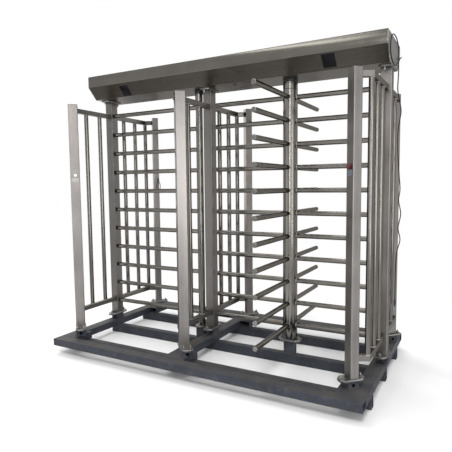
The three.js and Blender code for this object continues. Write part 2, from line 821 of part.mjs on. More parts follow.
// A disc with four notches on its hub
function notchedDisc(radius, shaftRadius) {
  const hubRadius = shaftRadius + gap + discHubWall;
  const hubBottom = channelFloor + bearingHubRise + runningGap;
  const bore = shaftRadius + gap;
  const top = discBottom + discThickness;
  let disc = turned(ring(bore, radius, discBottom, top), discSides);
  disc = disc.add(turned(ring(bore, hubRadius, hubBottom, hubBottom + discHubHeight), columnSides));
  for (let i = 0; i < wingCount; i += 1) {
    const notch = placed(span(radius - notchDepth, radius + overrun, -notchHalfWidth, notchHalfWidth), 0, 0,
      i * quarterTurn);
    disc = disc.subtract(prism(notch, discBottom - overrun, top + overrun));
  }
  return disc;
}

// Bearings

function upperBearing(ringRadius, shaftRadius, hubRadius) {
  const bore = shaftRadius + gap;
  const low = headerUnderside - bearingRingHeight;
  const hubTop = channelFloor + bearingHubRise;
  return turned([
    [bore, low], [ringRadius, low], [ringRadius, headerUnderside],
    [hubRadius, headerUnderside], [hubRadius, hubTop], [bore, hubTop], [bore, low],
  ], columnSides);
}

function footBearing(outline, spigotRadius) {
  const top = pedestalTop + footFlangeThickness;
  return prism(outline, pedestalTop, top)
    .add(turned([[0, top - weldDepth], [spigotRadius, top - weldDepth],
      [spigotRadius, top + spigotHeight], [0, top + spigotHeight]], columnSides));
}

// An upright tube with a bored plug at its foot, which stands over a spigot
function uprightTube(diameter, wall, spigotRadius, top) {
  const radius = diameter / 2;
  const foot = pedestalTop + footFlangeThickness + gap;
  const bore = spigotRadius + gap;
  return turned([
    [bore, foot], [radius, foot], [radius, top], [radius - wall, top],
    [radius - wall, foot + footPlugHeight], [bore, foot + footPlugHeight], [bore, foot],
  ], columnSides);
}

// Arms welded to the outside of a tube, with their roots just inside its wall
function arms(tubeRadius, end, turn) {
  const start = Math.sqrt(tubeRadius ** 2 - (armDiameter / 2) ** 2) - weldDepth;
  const direction = new THREE.Vector3(1, 0, 0).applyAxisAngle(axisZ, turn);
  return Array.from({ length: armCount }, (_, i) => {
    const level = new THREE.Vector3(0, 0, firstArmHeight + i * armSpacing);
    return chamferedRod(level, direction, start, end);
  });
}

// An arm with a small chamfer round its closed tip
function chamferedRod(level, direction, start, end) {
  const radius = armDiameter / 2;
  const profile = [[0, start], [radius, start], [radius, end - armTipChamfer],
    [radius - armTipChamfer, end], [0, end]];
  const geometry = latheGeometry(profile, armSides);
  geometry.applyQuaternion(new THREE.Quaternion().setFromUnitVectors(axisZ, direction));
  return solidOf(geometry.translate(level.x, level.y, level.z));
}

// A flanged shaft that carries the tube below it
function headShaft(flangeRadius, low, shaftRadius) {
  const flangeTop = headerUnderside - bearingRingHeight - runningGap;
  const top = discBottom + discThickness + shaftRise;
  return turned([[0, low], [flangeRadius, low], [flangeRadius, flangeTop],
    [shaftRadius, flangeTop], [shaftRadius, top], [0, top]], columnSides);
}

function rotor() {
  const group = new THREE.Group();
  const columnRadius = columnDiameter / 2;
  let wings = uprightTube(columnDiameter, columnWall, rotorSpigotRadius, columnTop);
  for (let wing = 0; wing < wingCount; wing += 1) {
    wings = joined([wings, ...arms(columnRadius, rotorReach, wing * quarterTurn)]);
  }
  const sleeveTop = columnTop + sleeveHeight;
  const bore = columnRadius - columnWall;
  const sleeve = turned([
    [bore, columnTop], [columnRadius - sleeveChamfer, columnTop], [columnRadius, columnTop + sleeveChamfer],
    [columnRadius, sleeveTop - sleeveChamfer], [columnRadius - sleeveChamfer, sleeveTop],
    [bore, sleeveTop], [bore, columnTop],
  ], columnSides);
  group.add(
    part('rotor_arms', wings, brushedSteel),
    part('rotor_head_sleeve', sleeve, brushedSteel),
    part('rotor_shaft', headShaft(columnRadius, sleeveTop, rotorShaftRadius), brightSteel),
    part('rotor_index_disc', notchedDisc(rotorDiscRadius, rotorShaftRadius), hardSteel),
    part('rotor_upper_bearing', upperBearing(rotorRingRadius, rotorShaftRadius, rotorHubRadius), blackPlastic),
    part('rotor_foot_bearing', footBearing(rotorFlangeOutline, rotorSpigotRadius), brightSteel),
  );
  return group;
}

function gate() {
  const group = new THREE.Group();
  group.position.x = gateAxis;
  const tube = uprightTube(gateTubeDiameter, gateTubeWall, gateSpigotRadius, gateTubeTop);
  group.add(
    part('gate_leaf', joined([tube, ...arms(gateTubeDiameter / 2, gateReach, Math.PI)]), brushedSteel),
    part('gate_shaft', headShaft(gateCollarRadius, gateTubeTop, gateShaftRadius), brightSteel),
    part('gate_lock_disc', notchedDisc(gateDiscRadius, gateShaftRadius), hardSteel),
    part('gate_upper_bearing', upperBearing(gateRingRadius, gateShaftRadius, gateHubRadius), blackPlastic),
    part('gate_foot_bearing', footBearing(gateFlangeOutline, gateSpigotRadius), brightSteel),
  );
  return group;
}

// Control box: an open-backed cover over the boards, with a cable entry in its end
function controlBox() {
  const half = controlBoxWidth / 2;
  const end = controlBoxX + controlBoxLength;
  const top = channelFloor + controlBoxHeight;
  const wall = controlBoxWall;
  const cover = box(controlBoxX, end, -half, half, channelFloor, top)
    .subtract(box(controlBoxX + wall, end - wall, wall - half, half - wall, channelFloor - overrun, top - wall));
  const entryHeight = (channelFloor + top) / 2;
  return cover.subtract(rod(new THREE.Vector3(end - wall - overrun, 0, entryHeight),
    new THREE.Vector3(end + overrun, 0, entryHeight), controlEntryRadius, smallSides));
}

// Push buttons: a bezel whose barrel goes through the post's wall, and a cap on a stem in its bore
function pushButton(names, post, height, turn, bezel, cap, travel, looks) {
  const group = new THREE.Group();
  group.position.set(post.x, post.y, height);
  group.rotation.z = turn;
  const face = endPostSize / 2 + gap;
  const front = face + bezel.depth;
  const bore = buttonStemRadius + gap;
  const back = face - buttonBarrelDepth;
  const capBack = front + travel + runningGap;
  const bezelProfile = [
    [bore, back], [buttonBarrelRadius, back], [buttonBarrelRadius, face],
    [bezel.radius, face], [bezel.radius, front], [bore, front], [bore, back],
  ];
  const capProfile = [
    [0, back], [buttonStemRadius, back], [buttonStemRadius, capBack], [cap.radius, capBack],
    [cap.radius, capBack + cap.depth / 2], [cap.radius * capCrownShare, capBack + cap.depth],
    [0, capBack + cap.depth],
  ];
  group.add(
    part(names.bezel, turnedAlongX(bezelProfile, smallSides), looks.bezel),
    part(names.cap, turnedAlongX(capProfile, smallSides), looks.cap),
  );
  return group;
}

// How wide a button's flat crown is, as a share of its cap
const capCrownShare = 0.7;

function buttons() {
  const group = new THREE.Group();
  group.add(
    pushButton({ bezel: 'left_button_bezel', cap: 'left_button' }, endPosts.leftFront, leftButtonHeight,
      leftButtonTurn, { radius: leftBezelRadius, depth: leftBezelDepth },
      { radius: leftCapRadius, depth: leftCapDepth }, leftButtonTravel,
      { bezel: brightSteel, cap: whiteCap }),
    pushButton({ bezel: 'right_button_bezel', cap: 'right_button' }, endPosts.rightFront, rightButtonHeight,
      rightButtonTurn, { radius: rightBezelRadius, depth: rightBezelDepth },
      { radius: rightCapRadius, depth: rightCapDepth }, rightButtonTravel,
      { bezel: blackPlastic, cap: redPlastic }),
  );
  return group;
}

// Cables

// The cable's route from its gland on the header's rear face, round one loop on the end plate,
// and then down beside the right guard. The two stretches meet just under the loop.
// The points are offsets from where the cable starts, in the gland's socket.
const glandFace = headerHalfWidth + gap;
const glandHexEnd = glandFace + glandHexDepth;
const glandNose = glandHexEnd + glandNoseDepth - glandSocketDepth;
const socketBottom = glandNose - glandSocketDepth;
const cableStart = new THREE.Vector3(glandX, socketBottom + gap, glandHeight);
const cableLoopRoute = [
  [0, 0, 0], [0, 9.4, 0], [1, 26.4, 0], [12, 48.4, -3], [42, 57.4, -9], [72, 46.4, -17],
  [94, 12.4, -26], [104, -37.6, -37], [107, -103.6, -55], [107, -168.6, -90], [105, -233.6, -124],
  [103, -301.6, -151], [101, -375.6, -148], [99, -435.6, -120], [98, -467.6, -80], [97, -459.6, -32],
  [97, -423.6, 10], [96, -368.6, 42], [96, -313.6, 53], [96, -238.6, 55], [96, -181.6, 42],
  [96, -141.6, 22], [96, -120.6, -5], [96, -115.6, -46], [96, -113.6, -85], [96, -110.6, -120],
];
const cableDropRoute = [
  [96, -110.6, -120.4], [96, -107.6, -140], [90, -75.6, -190], [85, -58.6, -253], [84, -28.6, -292],
  [88, 31.4, -345], [92, 76.4, -406], [88, 62.4, -465], [84, 33.4, -518], [82, 11.4, -575],
  [82, 21.4, -703], [86, 86.4, -892], [89, 124.4, -1010], [84, 98.4, -1088], [94, 151.4, -1199],
  [82, 114.4, -1310], [92, 156.4, -1404], [82, 94.4, -1483], [80, 64.4, -1525], [80, 39.4, -1671],
  [80, 40.4, -1790], [80, 40.4, -1830], [80, 40.4, -1865],
];

// The short wire that hangs in a loop at the left rear post, as offsets from where it leaves the post's face
const wireFace = (endPostSize / 2 + gap) / Math.SQRT2;
const wireExit = new THREE.Vector3(
  endPosts.leftRear.x + wireFace + wireExitShift, endPosts.leftRear.y - wireFace + wireExitShift, wireExitHeight);
const wireRoute = [
  [0, 0, 0], [9, -9, 0], [24, -18.6, -4], [36, -23.6, -22], [41, -24.6, -48], [35, -25.6, -74],
  [20, -27.6, -86], [5, -29.6, -74], [-2, -31.6, -46], [2, -32.6, -20], [12, -32.6, -4],
  [22, -32.6, 6],
];

function routePoints(start, route) {
  return route.map((offset) => new THREE.Vector3(...offset).add(start));
}

function cord(name, start, route, diameter, sides, steps) {
  const curve = new THREE.CatmullRomCurve3(routePoints(start, route), false, 'centripetal');
  const section = new THREE.Shape(circle(diameter / 2, sides));
  const geometry = new THREE.ExtrudeGeometry(section, { extrudePath: curve, steps });
  printCord(name, curve, diameter);
  return part(name, solidOf(geometry), blackPlastic);
}

// Prints a cord's length and its least gap to itself, beyond the stretch where it only bends
function printCord(name, curve, diameter) {
  const count = 600;
  const points = curve.getSpacedPoints(count);
  const spacing = curve.getLength() / count;
  const apart = Math.ceil(8 * diameter / spacing);
  let least = Infinity;
  for (let i = 0; i < points.length; i += 1) {
    for (let j = i + apart; j < points.length; j += 1) {
      least = Math.min(least, points[i].distanceTo(points[j]) - diameter);
    }
  }
  console.log(`${name}: ${curve.getLength().toFixed(0)} mm long, least gap to itself ${least.toFixed(1)} mm`);
}

// The gland in the header's rear face, with a socket for the cable
function gland() {
  const socket = cableDiameter / 2 + gap;
  const inside = headerHalfWidth - 2 * headerSheet;
  const solid = turnedAlongX([
    [0, inside], [glandNoseRadius, inside], [glandNoseRadius, glandFace], [glandHexRadius, glandFace],
    [glandHexRadius, glandHexEnd], [glandNoseRadius, glandHexEnd], [glandNoseRadius, socketBottom],
    [socket + cableDiameter / 4, glandNose], [socket, glandNose], [socket, socketBottom], [0, socketBottom],
  ], smallSides);
  const mesh = part('cable_gland', solid, blackPlastic);
  mesh.position.set(glandX, 0, glandHeight);
  mesh.rotation.z = quarterTurn;
  return mesh;
}

// A plug on a cord's end, in line with it
function plug(name, start, route, size) {
  const [before, end] = routePoints(start, route).slice(-2);
  const onward = end.clone().sub(before).normalize();
  const tip = gap + size.length + size.tipLength;
  const solid = turned([
    [0, gap], [size.radius - size.tipLength / 4, gap], [size.radius, gap + size.tipLength / 4],
    [size.radius, gap + size.length], [size.tipRadius, gap + size.length], [size.tipRadius, tip], [0, tip],
  ], smallSides);
  const mesh = part(name, solid, blackPlastic);
  mesh.position.copy(end);
  mesh.quaternion.setFromUnitVectors(axisZ, onward);
  return mesh;
}

function cables() {
  const group = new THREE.Group();
  group.add(
    cord('header_cable_loop', cableStart, cableLoopRoute, cableDiameter, cableSides, cableLoopSteps),
    cord('header_cable_drop', cableStart, cableDropRoute, cableDiameter, cableSides, cableDropSteps),
    plug('cable_plug', cableStart, cableDropRoute, cablePlug),
    cord('rear_wire_loop', wireExit, wireRoute, wireDiameter, wireSides, wireSteps),
  );
  return group;
}

// The whole turnstile, with its origin in the middle of its footprint. The cords aren't counted.
const turnstile = new THREE.Group();
turnstile.name = 'full_height_turnstile';
turnstile.add(groundFrame(), posts(), guardPanels(), headerShell(), rotor(), gate());
locks.forEach((lock) => turnstile.add(lockGroup(lock)));
turnstile.add(part('control_box', controlBox(), boxGrey), buttons(), gland());
const extent = new THREE.Box3().setFromObject(turnstile);
const middle = extent.getCenter(new THREE.Vector3());
turnstile.add(cables());
turnstile.position.set(-middle.x, -middle.y, -extent.min.z);

export default turnstile;
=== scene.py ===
# %% [markdown]
# A full height turnstile, dressed for a photograph. The CAD model gives each piece its place and
# its size. This script rounds the edges, adds weld beads, bolts, plates and caps, gives every
# surface a finish, and builds a small photo studio round it. Each markdown cell says what comes
# next on the real object, how it could be made in Blender, and why it is made this way.

# %% Load the CAD frame
import math

import bmesh
import bpy
from mathutils import Matrix, Vector


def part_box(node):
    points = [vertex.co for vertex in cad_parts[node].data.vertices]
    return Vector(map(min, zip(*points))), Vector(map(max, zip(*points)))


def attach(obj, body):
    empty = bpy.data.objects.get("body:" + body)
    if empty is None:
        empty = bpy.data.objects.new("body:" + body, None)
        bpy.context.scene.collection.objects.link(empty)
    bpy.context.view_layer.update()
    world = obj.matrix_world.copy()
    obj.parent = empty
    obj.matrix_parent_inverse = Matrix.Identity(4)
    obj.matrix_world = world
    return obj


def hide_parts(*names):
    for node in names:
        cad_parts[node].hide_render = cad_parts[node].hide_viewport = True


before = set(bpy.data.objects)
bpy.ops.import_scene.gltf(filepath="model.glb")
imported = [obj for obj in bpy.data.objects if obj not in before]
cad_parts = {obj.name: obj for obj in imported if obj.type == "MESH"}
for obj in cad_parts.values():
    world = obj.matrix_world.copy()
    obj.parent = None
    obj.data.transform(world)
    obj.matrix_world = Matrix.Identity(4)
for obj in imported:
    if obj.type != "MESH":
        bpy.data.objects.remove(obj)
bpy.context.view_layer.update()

print("CAD nodes:", len(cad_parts))

# %% [markdown]
# The camera comes first, because everything after it is judged through it. It could be placed by
# eye, but its place, turn and lens were worked out from the lines of the header, the posts and
# the arms instead, so the render lies on the photograph. Blender's camera looks along its own -Z,
# so it is tipped up by a right angle less the downward pitch, and then turned about the world's Z.

# %% Camera
frame_pixels = 452
sensor_width = 36.0
focal_pixels = 462.8
optical_centre = (227.26, 224.93)
rotor_axis = Vector((0.55849301, 0.0015, 0.0))
camera_place = rotor_axis + Vector((1.3322, -3.4678, 1.4487))
camera_yaw = math.radians(28.79)
camera_pitch = math.radians(4.861)
camera_roll = math.radians(0.589)
view_distance = 60.0
right_angle = math.pi / 2

camera_data = bpy.data.cameras.new("camera")
camera_data.sensor_width = sensor_width
camera_data.lens = focal_pixels / frame_pixels * sensor_width
camera_data.shift_x = 0.5 - optical_centre[0] / frame_pixels
camera_data.shift_y = optical_centre[1] / frame_pixels - 0.5
camera_data.clip_end = view_distance
camera = bpy.data.objects.new("camera", camera_data)
turn = Matrix.Rotation(camera_yaw, 4, "Z")
tip = Matrix.Rotation(right_angle - camera_pitch, 4, "X")
roll = Matrix.Rotation(-camera_roll, 4, "Z")
camera.matrix_world = Matrix.Translation(camera_place) @ turn @ tip @ roll
bpy.context.scene.collection.objects.link(camera)
bpy.context.scene.camera = camera
print("Lens in millimetres:", round(camera_data.lens, 2))

# %% [markdown]
# Two cords leave the turnstile. A black control cable comes out of a gland at the back of the
# header, makes one loop on the end plate and hangs down behind the right header post to its plug.
# A short wire hangs in a small loop at the left rear post. A cord could be drawn as a smooth
# curve with few handles, but it has to lie where the CAD solid lies. So the same points are joined
# by the same kind of curve, a centripetal spline. The curve gets a round bevel and is then turned
# into a mesh, so that its measured box is that of the tube.

# %% Points on a smooth line
def smooth_line(points, steps):
    """Points along a centripetal spline that goes through the given points."""
    ends = [2 * points[0] - points[1], *points, 2 * points[-1] - points[-2]]
    line = []
    for a, b, c, d in zip(ends, ends[1:], ends[2:], ends[3:]):
        t1 = math.sqrt((b - a).length)
        t2 = t1 + math.sqrt((c - b).length)
        t3 = t2 + math.sqrt((d - c).length)
        for i in range(steps):
            t = t1 + (t2 - t1) * i / steps
            ab = a.lerp(b, t / t1)
            bc = b.lerp(c, (t - t1) / (t2 - t1))
            cd = c.lerp(d, (t - t2) / (t3 - t2))
            abc = ab.lerp(bc, t / t2)
            bcd = bc.lerp(cd, (t - t1) / (t3 - t1))
            line.append(abc.lerp(bcd, (t - t1) / (t2 - t1)))
    return [*line, points[-1]]


def line_length(line):
    """The length of a line of points."""
    return sum((b - a).length for a, b in zip(line, line[1:]))


# %% The cords
MILLIMETRE = 0.001
cable_start = Vector((0.68, 0.2536, 2.41)) + rotor_axis
cable_offsets = [
    (0, 0, 0), (0, 9.4, 0), (1, 26.4, 0), (12, 48.4, -3), (42, 57.4, -9), (72, 46.4, -17),
    (94, 12.4, -26), (104, -37.6, -37), (107, -103.6, -55), (107, -168.6, -90), (105, -233.6, -124),
    (103, -301.6, -151), (101, -375.6, -148), (99, -435.6, -120), (98, -467.6, -80), (97, -459.6, -32),
    (97, -423.6, 10), (96, -368.6, 42), (96, -313.6, 53), (96, -238.6, 55), (96, -181.6, 42),
    (96, -141.6, 22), (96, -120.6, -5), (96, -115.6, -46), (96, -113.6, -85), (96, -107.6, -140),
    (90, -75.6, -190), (85, -58.6, -253), (84, -28.6, -292), (88, 31.4, -345), (92, 76.4, -406),
    (88, 62.4, -465), (84, 33.4, -518), (82, 11.4, -575), (82, 21.4, -703), (86, 86.4, -892),
    (89, 124.4, -1010), (84, 98.4, -1088), (94, 151.4, -1199), (82, 114.4, -1310), (92, 156.4, -1404),
    (82, 94.4, -1483), (80, 64.4, -1525), (80, 39.4, -1671), (80, 40.4, -1790), (80, 40.4, -1830),
    (80, 40.4, -1865),
]
wire_start = Vector((-1.694, 0.5296, 1.494)) + rotor_axis
wire_offsets = [
    (0, 0, 0), (9, -9, 0), (24, -18.6, -4), (36, -23.6, -22), (41, -24.6, -48), (35, -25.6, -74),
    (20, -27.6, -86), (5, -29.6, -74), (-2, -31.6, -46), (2, -32.6, -20), (12, -32.6, -4),
    (22, -32.6, 6),
]
cable_thickness = 0.008
wire_thickness = 0.006
steps_between_points = 6
cord_roundness = 3
plug_sides = 32
plug_rim_angle = 1.0
plug_edge = 0.0012
connector_radius = 0.0085
connector_length = 0.03
connector_gap = 0.0005


def make_cord(name, start, offsets, thickness, nodes):
    """A free cord along a route of offsets in millimetres, in place of its CAD nodes."""
    points = [start + Vector(offset) * MILLIMETRE for offset in offsets]
    line = smooth_line(points, steps_between_points)
    curve = bpy.data.curves.new(name, "CURVE")
    curve.dimensions = "3D"
    curve.bevel_depth = thickness / 2
    curve.bevel_resolution = cord_roundness
    curve.use_fill_caps = True
    spline = curve.splines.new("POLY")
    spline.points.add(len(line) - 1)
    for place, point in zip(spline.points, line):
        place.co = (*point, 1.0)
    spline.use_smooth = True
    drawn = bpy.data.objects.new(name + "_curve", curve)
    bpy.context.scene.collection.objects.link(drawn)
    shown = bpy.context.evaluated_depsgraph_get()
    mesh = bpy.data.meshes.new_from_object(drawn.evaluated_get(shown))
    piece = bpy.data.objects.new(name, mesh)
    bpy.context.scene.collection.objects.link(piece)
    bpy.data.objects.remove(drawn)
    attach(piece, "frame")
    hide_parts(*nodes)
    length = round(line_length(line), 3)
    print(name, "is", length, "m long")
    return piece


def small_plug(name, end, radius, length):
    """A short round connector that goes on from a cord's end."""
    mesh = bpy.data.meshes.new(name)
    shape = bmesh.new()
    bmesh.ops.create_cone(
        shape, cap_ends=True, segments=plug_sides, radius1=radius, radius2=radius, depth=length,
        matrix=Matrix.Translation((0, 0, length / 2)),
    )
    rims = [e for e in shape.edges if e.calc_face_angle(0) > plug_rim_angle]
    bmesh.ops.bevel(
        shape, geom=rims, offset=plug_edge, segments=3, profile=0.5, affect="EDGES",
    )
    shape.to_mesh(mesh)
    shape.free()
    mesh.shade_smooth()
    mesh.set_sharp_from_angle(angle=math.radians(40))
    piece = bpy.data.objects.new(name, mesh)
    piece.location = end
    bpy.context.scene.collection.objects.link(piece)
    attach(piece, "frame")
    return piece


tie_place = cable_start + Vector(cable_offsets[8]) * MILLIMETRE
tie_along = (Vector(cable_offsets[9]) - Vector(cable_offsets[7])).normalized()
wire_end = wire_start + Vector(wire_offsets[-1]) * MILLIMETRE
connector_start = wire_end + Vector((0, 0, connector_gap))
wire_connector = small_plug("wire_connector", connector_start, connector_radius, connector_length)
control_cable = make_cord(
    "control_cable", cable_start, cable_offsets, cable_thickness,
    ["header_cable_loop", "header_cable_drop"],
)
post_wire = make_cord(
    "post_wire", wire_start, wire_offsets, wire_thickness, ["rear_wire_loop"],
)

# %% [markdown]
# Every finish is a small net of shader nodes. Nodes could be made and linked one by one, but then
# the maths is hard to read. Here one class wraps a socket, so that sums and products of sockets
# are written as Python, and one method adds any other node.

# %% Shader maths in Python
class Wire:
    """A socket of a node tree. Sums and products of wires add Math nodes."""

    def __init__(self, tree, socket=None):
        self.tree = tree
        self.socket = socket

    def node(self, kind, settings, sockets, output=0):
        """Adds a node, sets its settings, then its sockets' values or links."""
        made = self.tree.nodes.new(kind)
        for name, value in settings.items():
            setattr(made, name, value)
        for name, value in sockets.items():
            if isinstance(value, Wire):
                self.tree.links.new(value.socket, made.inputs[name])
            else:
                made.inputs[name].default_value = value
        return Wire(self.tree, made.outputs[output] if made.outputs else None)

    def maths(self, operation, *values):
        return self.node("ShaderNodeMath", {"operation": operation}, dict(enumerate(values)))

    def __add__(self, other):
        return self.maths("ADD", self, other)

    def __sub__(self, other):
        return self.maths("SUBTRACT", self, other)

    def __mul__(self, other):
        return self.maths("MULTIPLY", self, other)

    __radd__ = __add__
    __rmul__ = __mul__

    def between(self, low, high):
        """0 where the value is below low, 1 where it is above high, and a ramp between."""
        return self.node(
            "ShaderNodeMapRange", {"clamp": True},
            {"Value": self, "From Min": low, "From Max": high},
        )

    def mix(self, colour, other):
        """From one colour where this wire is 0 to the other where it is 1."""
        sides = {0: self, 6: colour, 7: other}
        sides = {k: v if isinstance(v, Wire) else (*v, 1.0) for k, v in sides.items()}
        return self.node("ShaderNodeMix", {"data_type": "RGBA"}, sides, 2)


def new_look(name):
    """A material, the start of its net, and the place on the piece that its textures follow."""
    look = bpy.data.materials.new(name)
    look.use_nodes = True
    look.node_tree.nodes.clear()
    start = Wire(look.node_tree)
    place = start.node("ShaderNodeTexCoord", {}, {}, "Object")
    return look, start, place


def noise(place, scale, detail=3.0, stretch=None):
    """Noise on the piece. Stretch gives the scale along each axis, for a brushed grain."""
    if stretch:
        place = place.node("ShaderNodeMapping", {}, {"Vector": place, "Scale": stretch})
    return place.node(
        "ShaderNodeTexNoise", {}, {"Vector": place, "Scale": scale, "Detail": detail},
    )


def surface(start, shader_sockets, height=None, depth=0.0002, strength=0.5):
    """A surface shader, with a bump from the height if there is one."""
    if height is not None:
        shader_sockets["Normal"] = start.node(
            "ShaderNodeBump", {}, {"Height": height, "Distance": depth, "Strength": strength},
        )
    return start.node("ShaderNodeBsdfPrincipled", {}, shader_sockets)


def close_look(start, shader):
    """Ends a material's net with its shader."""
    start.node("ShaderNodeOutputMaterial", {}, {"Surface": shader})


def shaded(colour, share):
    """A colour made lighter or darker by a share."""
    return tuple(min(1.0, channel * share) for channel in colour)


print("Shader maths ready")

# %% [markdown]
# Almost all of the turnstile is stainless steel with a satin, brushed finish. A plain grey metal
# would look like plastic here. The real sheet shows fine lines along the tube or sheet, soft
# clouds where it was wiped, and spots that are a little duller. So each steel is metal with a
# fine noise drawn out along the grain, a broad noise for the clouds, and a faint bump along the
# same lines. The grain runs up the posts and along the header. Each part's tone was measured
# through the camera, and some tones are painted light and shade on one sheet or tube: the left
# and middle header posts get a darker copy of the post steel, painted shade, because the room was
# darker on that side than plain lamps make it; the header's slope gets a darker copy of the
# header steel, painted shade, and its underside a lighter copy, painted light.

# %% Stainless steels
grain_length = 3.0
grain_fineness = 900.0
streak_width = 12
cloud_scale = 4.5
spot_scale = 60.0
spot_ramp = (0.62, 0.75)
tone_ramp = (0.3, 0.7)
hair_tone = 0.25
streak_tone = 0.35
cloud_tone = 0.4
spot_tone = 0.25
hair_gloss = 0.16
cloud_gloss = 0.2
spot_gloss = 0.08
grain_depth = 0.00015
dark_share = 0.78
light_share = 1.2
spot_share = 0.55
# The edge tint is painted shade: it darkens every steel's reflection at grazing angles.
painted_shade_edge_tint = (0.4, 0.39, 0.38, 1.0)


def steel(name, colour, grain_axis, roughness, relief=0.35):
    """Brushed stainless steel with its grain along one axis, or across them all."""
    look, start, place = new_look(name)
    stretch = [grain_fineness] * 3
    if grain_axis is not None:
        stretch[grain_axis] = grain_length
    hair = noise(place, 1.0, 2.0, stretch)
    streak = noise(place, 1.0, 3.0, [s / streak_width for s in stretch])
    cloud = noise(place, cloud_scale, 4.0)
    spots = noise(place, spot_scale, 2.0).between(*spot_ramp)
    tone = hair_tone * hair + streak_tone * streak + cloud_tone * cloud
    base = tone.between(*tone_ramp).mix(shaded(colour, dark_share), shaded(colour, light_share))
    base = (spots * spot_tone).mix(base, shaded(colour, spot_share))
    rough = roughness + hair_gloss * (hair - 0.5) + cloud_gloss * (cloud - 0.5) + spot_gloss * spots
    sockets = {"Base Color": base, "Roughness": rough, "Metallic": 1.0, "Specular Tint": painted_shade_edge_tint}
    close_look(start, surface(start, sockets, hair + streak, grain_depth, relief))
    return look


post_steel = steel("post_steel", (0.225, 0.211, 0.202), 2, 0.32)
# Painted shade: a darker copy of the post steel for the left and middle header posts.
painted_shade_post_steel = steel("painted_shade_post_steel", (0.15, 0.142, 0.134), 2, 0.32)
header_steel = steel("header_steel", (0.132, 0.125, 0.111), 0, 0.24, 0.02)
# Painted shade: a darker copy of the header steel for the header's slope.
painted_shade_slope_steel = steel("painted_shade_slope_steel", (0.072, 0.064, 0.055), 0, 0.3, 0.07)
end_steel = steel("end_steel", (0.32, 0.315, 0.306), 2, 0.46)
# Painted light: a lighter copy of the header steel for the header's underside and its fittings.
painted_light_underside_steel = steel("painted_light_underside_steel", (0.23, 0.22, 0.208), 0, 0.34, 0.07)
bar_steel = steel("bar_steel", (0.16, 0.15, 0.139), 2, 0.15, 0.03)
arm_steel = steel("arm_steel", (0.19, 0.18, 0.165), None, 0.15, 0.03)
plate_steel = steel("plate_steel", (0.3, 0.295, 0.285), 1, 0.36)
bright_steel = steel("bright_steel", (0.36, 0.355, 0.35), None, 0.26)
hard_steel = steel("hard_steel", (0.2, 0.2, 0.205), None, 0.4)
weld_steel = steel("weld_steel", (0.42, 0.405, 0.38), None, 0.6)
rail_steel = steel("rail_steel", (0.175, 0.165, 0.152), None, 0.34, 0.1)
print("Steels ready")

# %% [markdown]
# The ground frame is ordinary steel tube with a dark blue-grey paint. It stands outdoors, so its
# upper faces are dusty and browner than its sides, and a little rust shows at the welds. Dust
# could be painted on, but it lies wherever a face looks up, so the normal's Z tells where it is.

# %% Paint, plastics and the rest
paint_dark = (0.019, 0.022, 0.03)
paint_light = (0.031, 0.035, 0.046)
scuff_colour = (0.07, 0.073, 0.083)
dust_colour = (0.058, 0.053, 0.048)
rust_colour = (0.13, 0.05, 0.02)
patch_scale = 7.0
grit_scale = 220.0
scuff_scale = 26.0
rust_scale = 17.0
upward_ramp = (0.6, 0.95)
dust_ramp = (0.25, 0.6)
scuff_ramp = (0.56, 0.7)
rust_ramp = (0.67, 0.72)
mottle_ramp = (0.35, 0.65)
mottle_dark = 0.86
mottle_light = 1.16
mottle_gloss = 0.14
grain_gloss = 0.06


def frame_paint_look():
    """Dusty, scuffed paint with a little rust."""
    look, start, place = new_look("frame_paint")
    facing = start.node("ShaderNodeNewGeometry", {}, {}, "Normal")
    height = start.node("ShaderNodeSeparateXYZ", {}, {"Vector": facing}, "Z")
    upward = height.between(*upward_ramp)
    patches = noise(place, patch_scale, 5.0)
    grit = noise(place, grit_scale, 3.0)
    scuffs = noise(place, scuff_scale, 5.0).between(*scuff_ramp)
    rust = noise(place, rust_scale, 6.0).between(*rust_ramp)
    paint = patches.between(*tone_ramp).mix(paint_dark, paint_light)
    paint = (scuffs * 0.4).mix(paint, scuff_colour)
    dust = (upward * patches.between(*dust_ramp) * 0.75).mix(paint, dust_colour)
    base = (rust * 0.7).mix(dust, rust_colour)
    rough = 0.5 + 0.25 * upward + 0.15 * (grit - 0.5) + 0.2 * rust
    close_look(start, surface(
        start, {"Base Color": base, "Roughness": rough, "Specular IOR Level": 0.28},
        grit + patches, 0.0004, 0.3,
    ))
    return look


def coated(name, colour, roughness, mottle, grain, metallic=0.0, specular=0.5):
    """Plastic, rubber or paint: one colour with a faint mottle, dust and a moulded grain."""
    look, start, place = new_look(name)
    cloud = noise(place, mottle, 4.0)
    fine = noise(place, grain, 3.0)
    dark = shaded(colour, mottle_dark)
    base = cloud.between(*mottle_ramp).mix(dark, shaded(colour, mottle_light))
    rough = roughness + mottle_gloss * (cloud - 0.5) + grain_gloss * (fine - 0.5)
    sockets = {
        "Base Color": base, "Roughness": rough, "Metallic": metallic, "Specular IOR Level": specular,
    }
    close_look(start, surface(start, sockets, fine, 0.0001, 0.3))
    return look


frame_paint = frame_paint_look()
black_gloss = coated("black_gloss", (0.006, 0.006, 0.008), 0.14, 9.0, 300.0, 0.0, 0.12)
black_plastic = coated("black_plastic", (0.018, 0.018, 0.02), 0.42, 40.0, 900.0)
cable_rubber = coated("cable_rubber", (0.007, 0.007, 0.008), 0.6, 60.0, 1400.0, specular=0.2)
red_plastic = coated("red_plastic", (0.11, 0.004, 0.006), 0.35, 50.0, 900.0, 0.0, 0.3)
white_cap = coated("white_cap", (0.84, 0.84, 0.83), 0.3, 40.0, 900.0)
white_nylon = coated("white_nylon", (0.72, 0.72, 0.7), 0.45, 60.0, 900.0)
coil_copper = coated("coil_copper", (0.2, 0.08, 0.03), 0.35, 60.0, 500.0, 0.5)
box_grey = coated("box_grey", (0.4, 0.42, 0.43), 0.5, 12.0, 700.0)
label_beige = coated("label_beige", (0.33, 0.31, 0.285), 0.4, 30.0, 800.0)
label_blue = coated("label_blue", (0.11, 0.125, 0.155), 0.4, 30.0, 800.0)
print("Finishes:", len(bpy.data.materials))

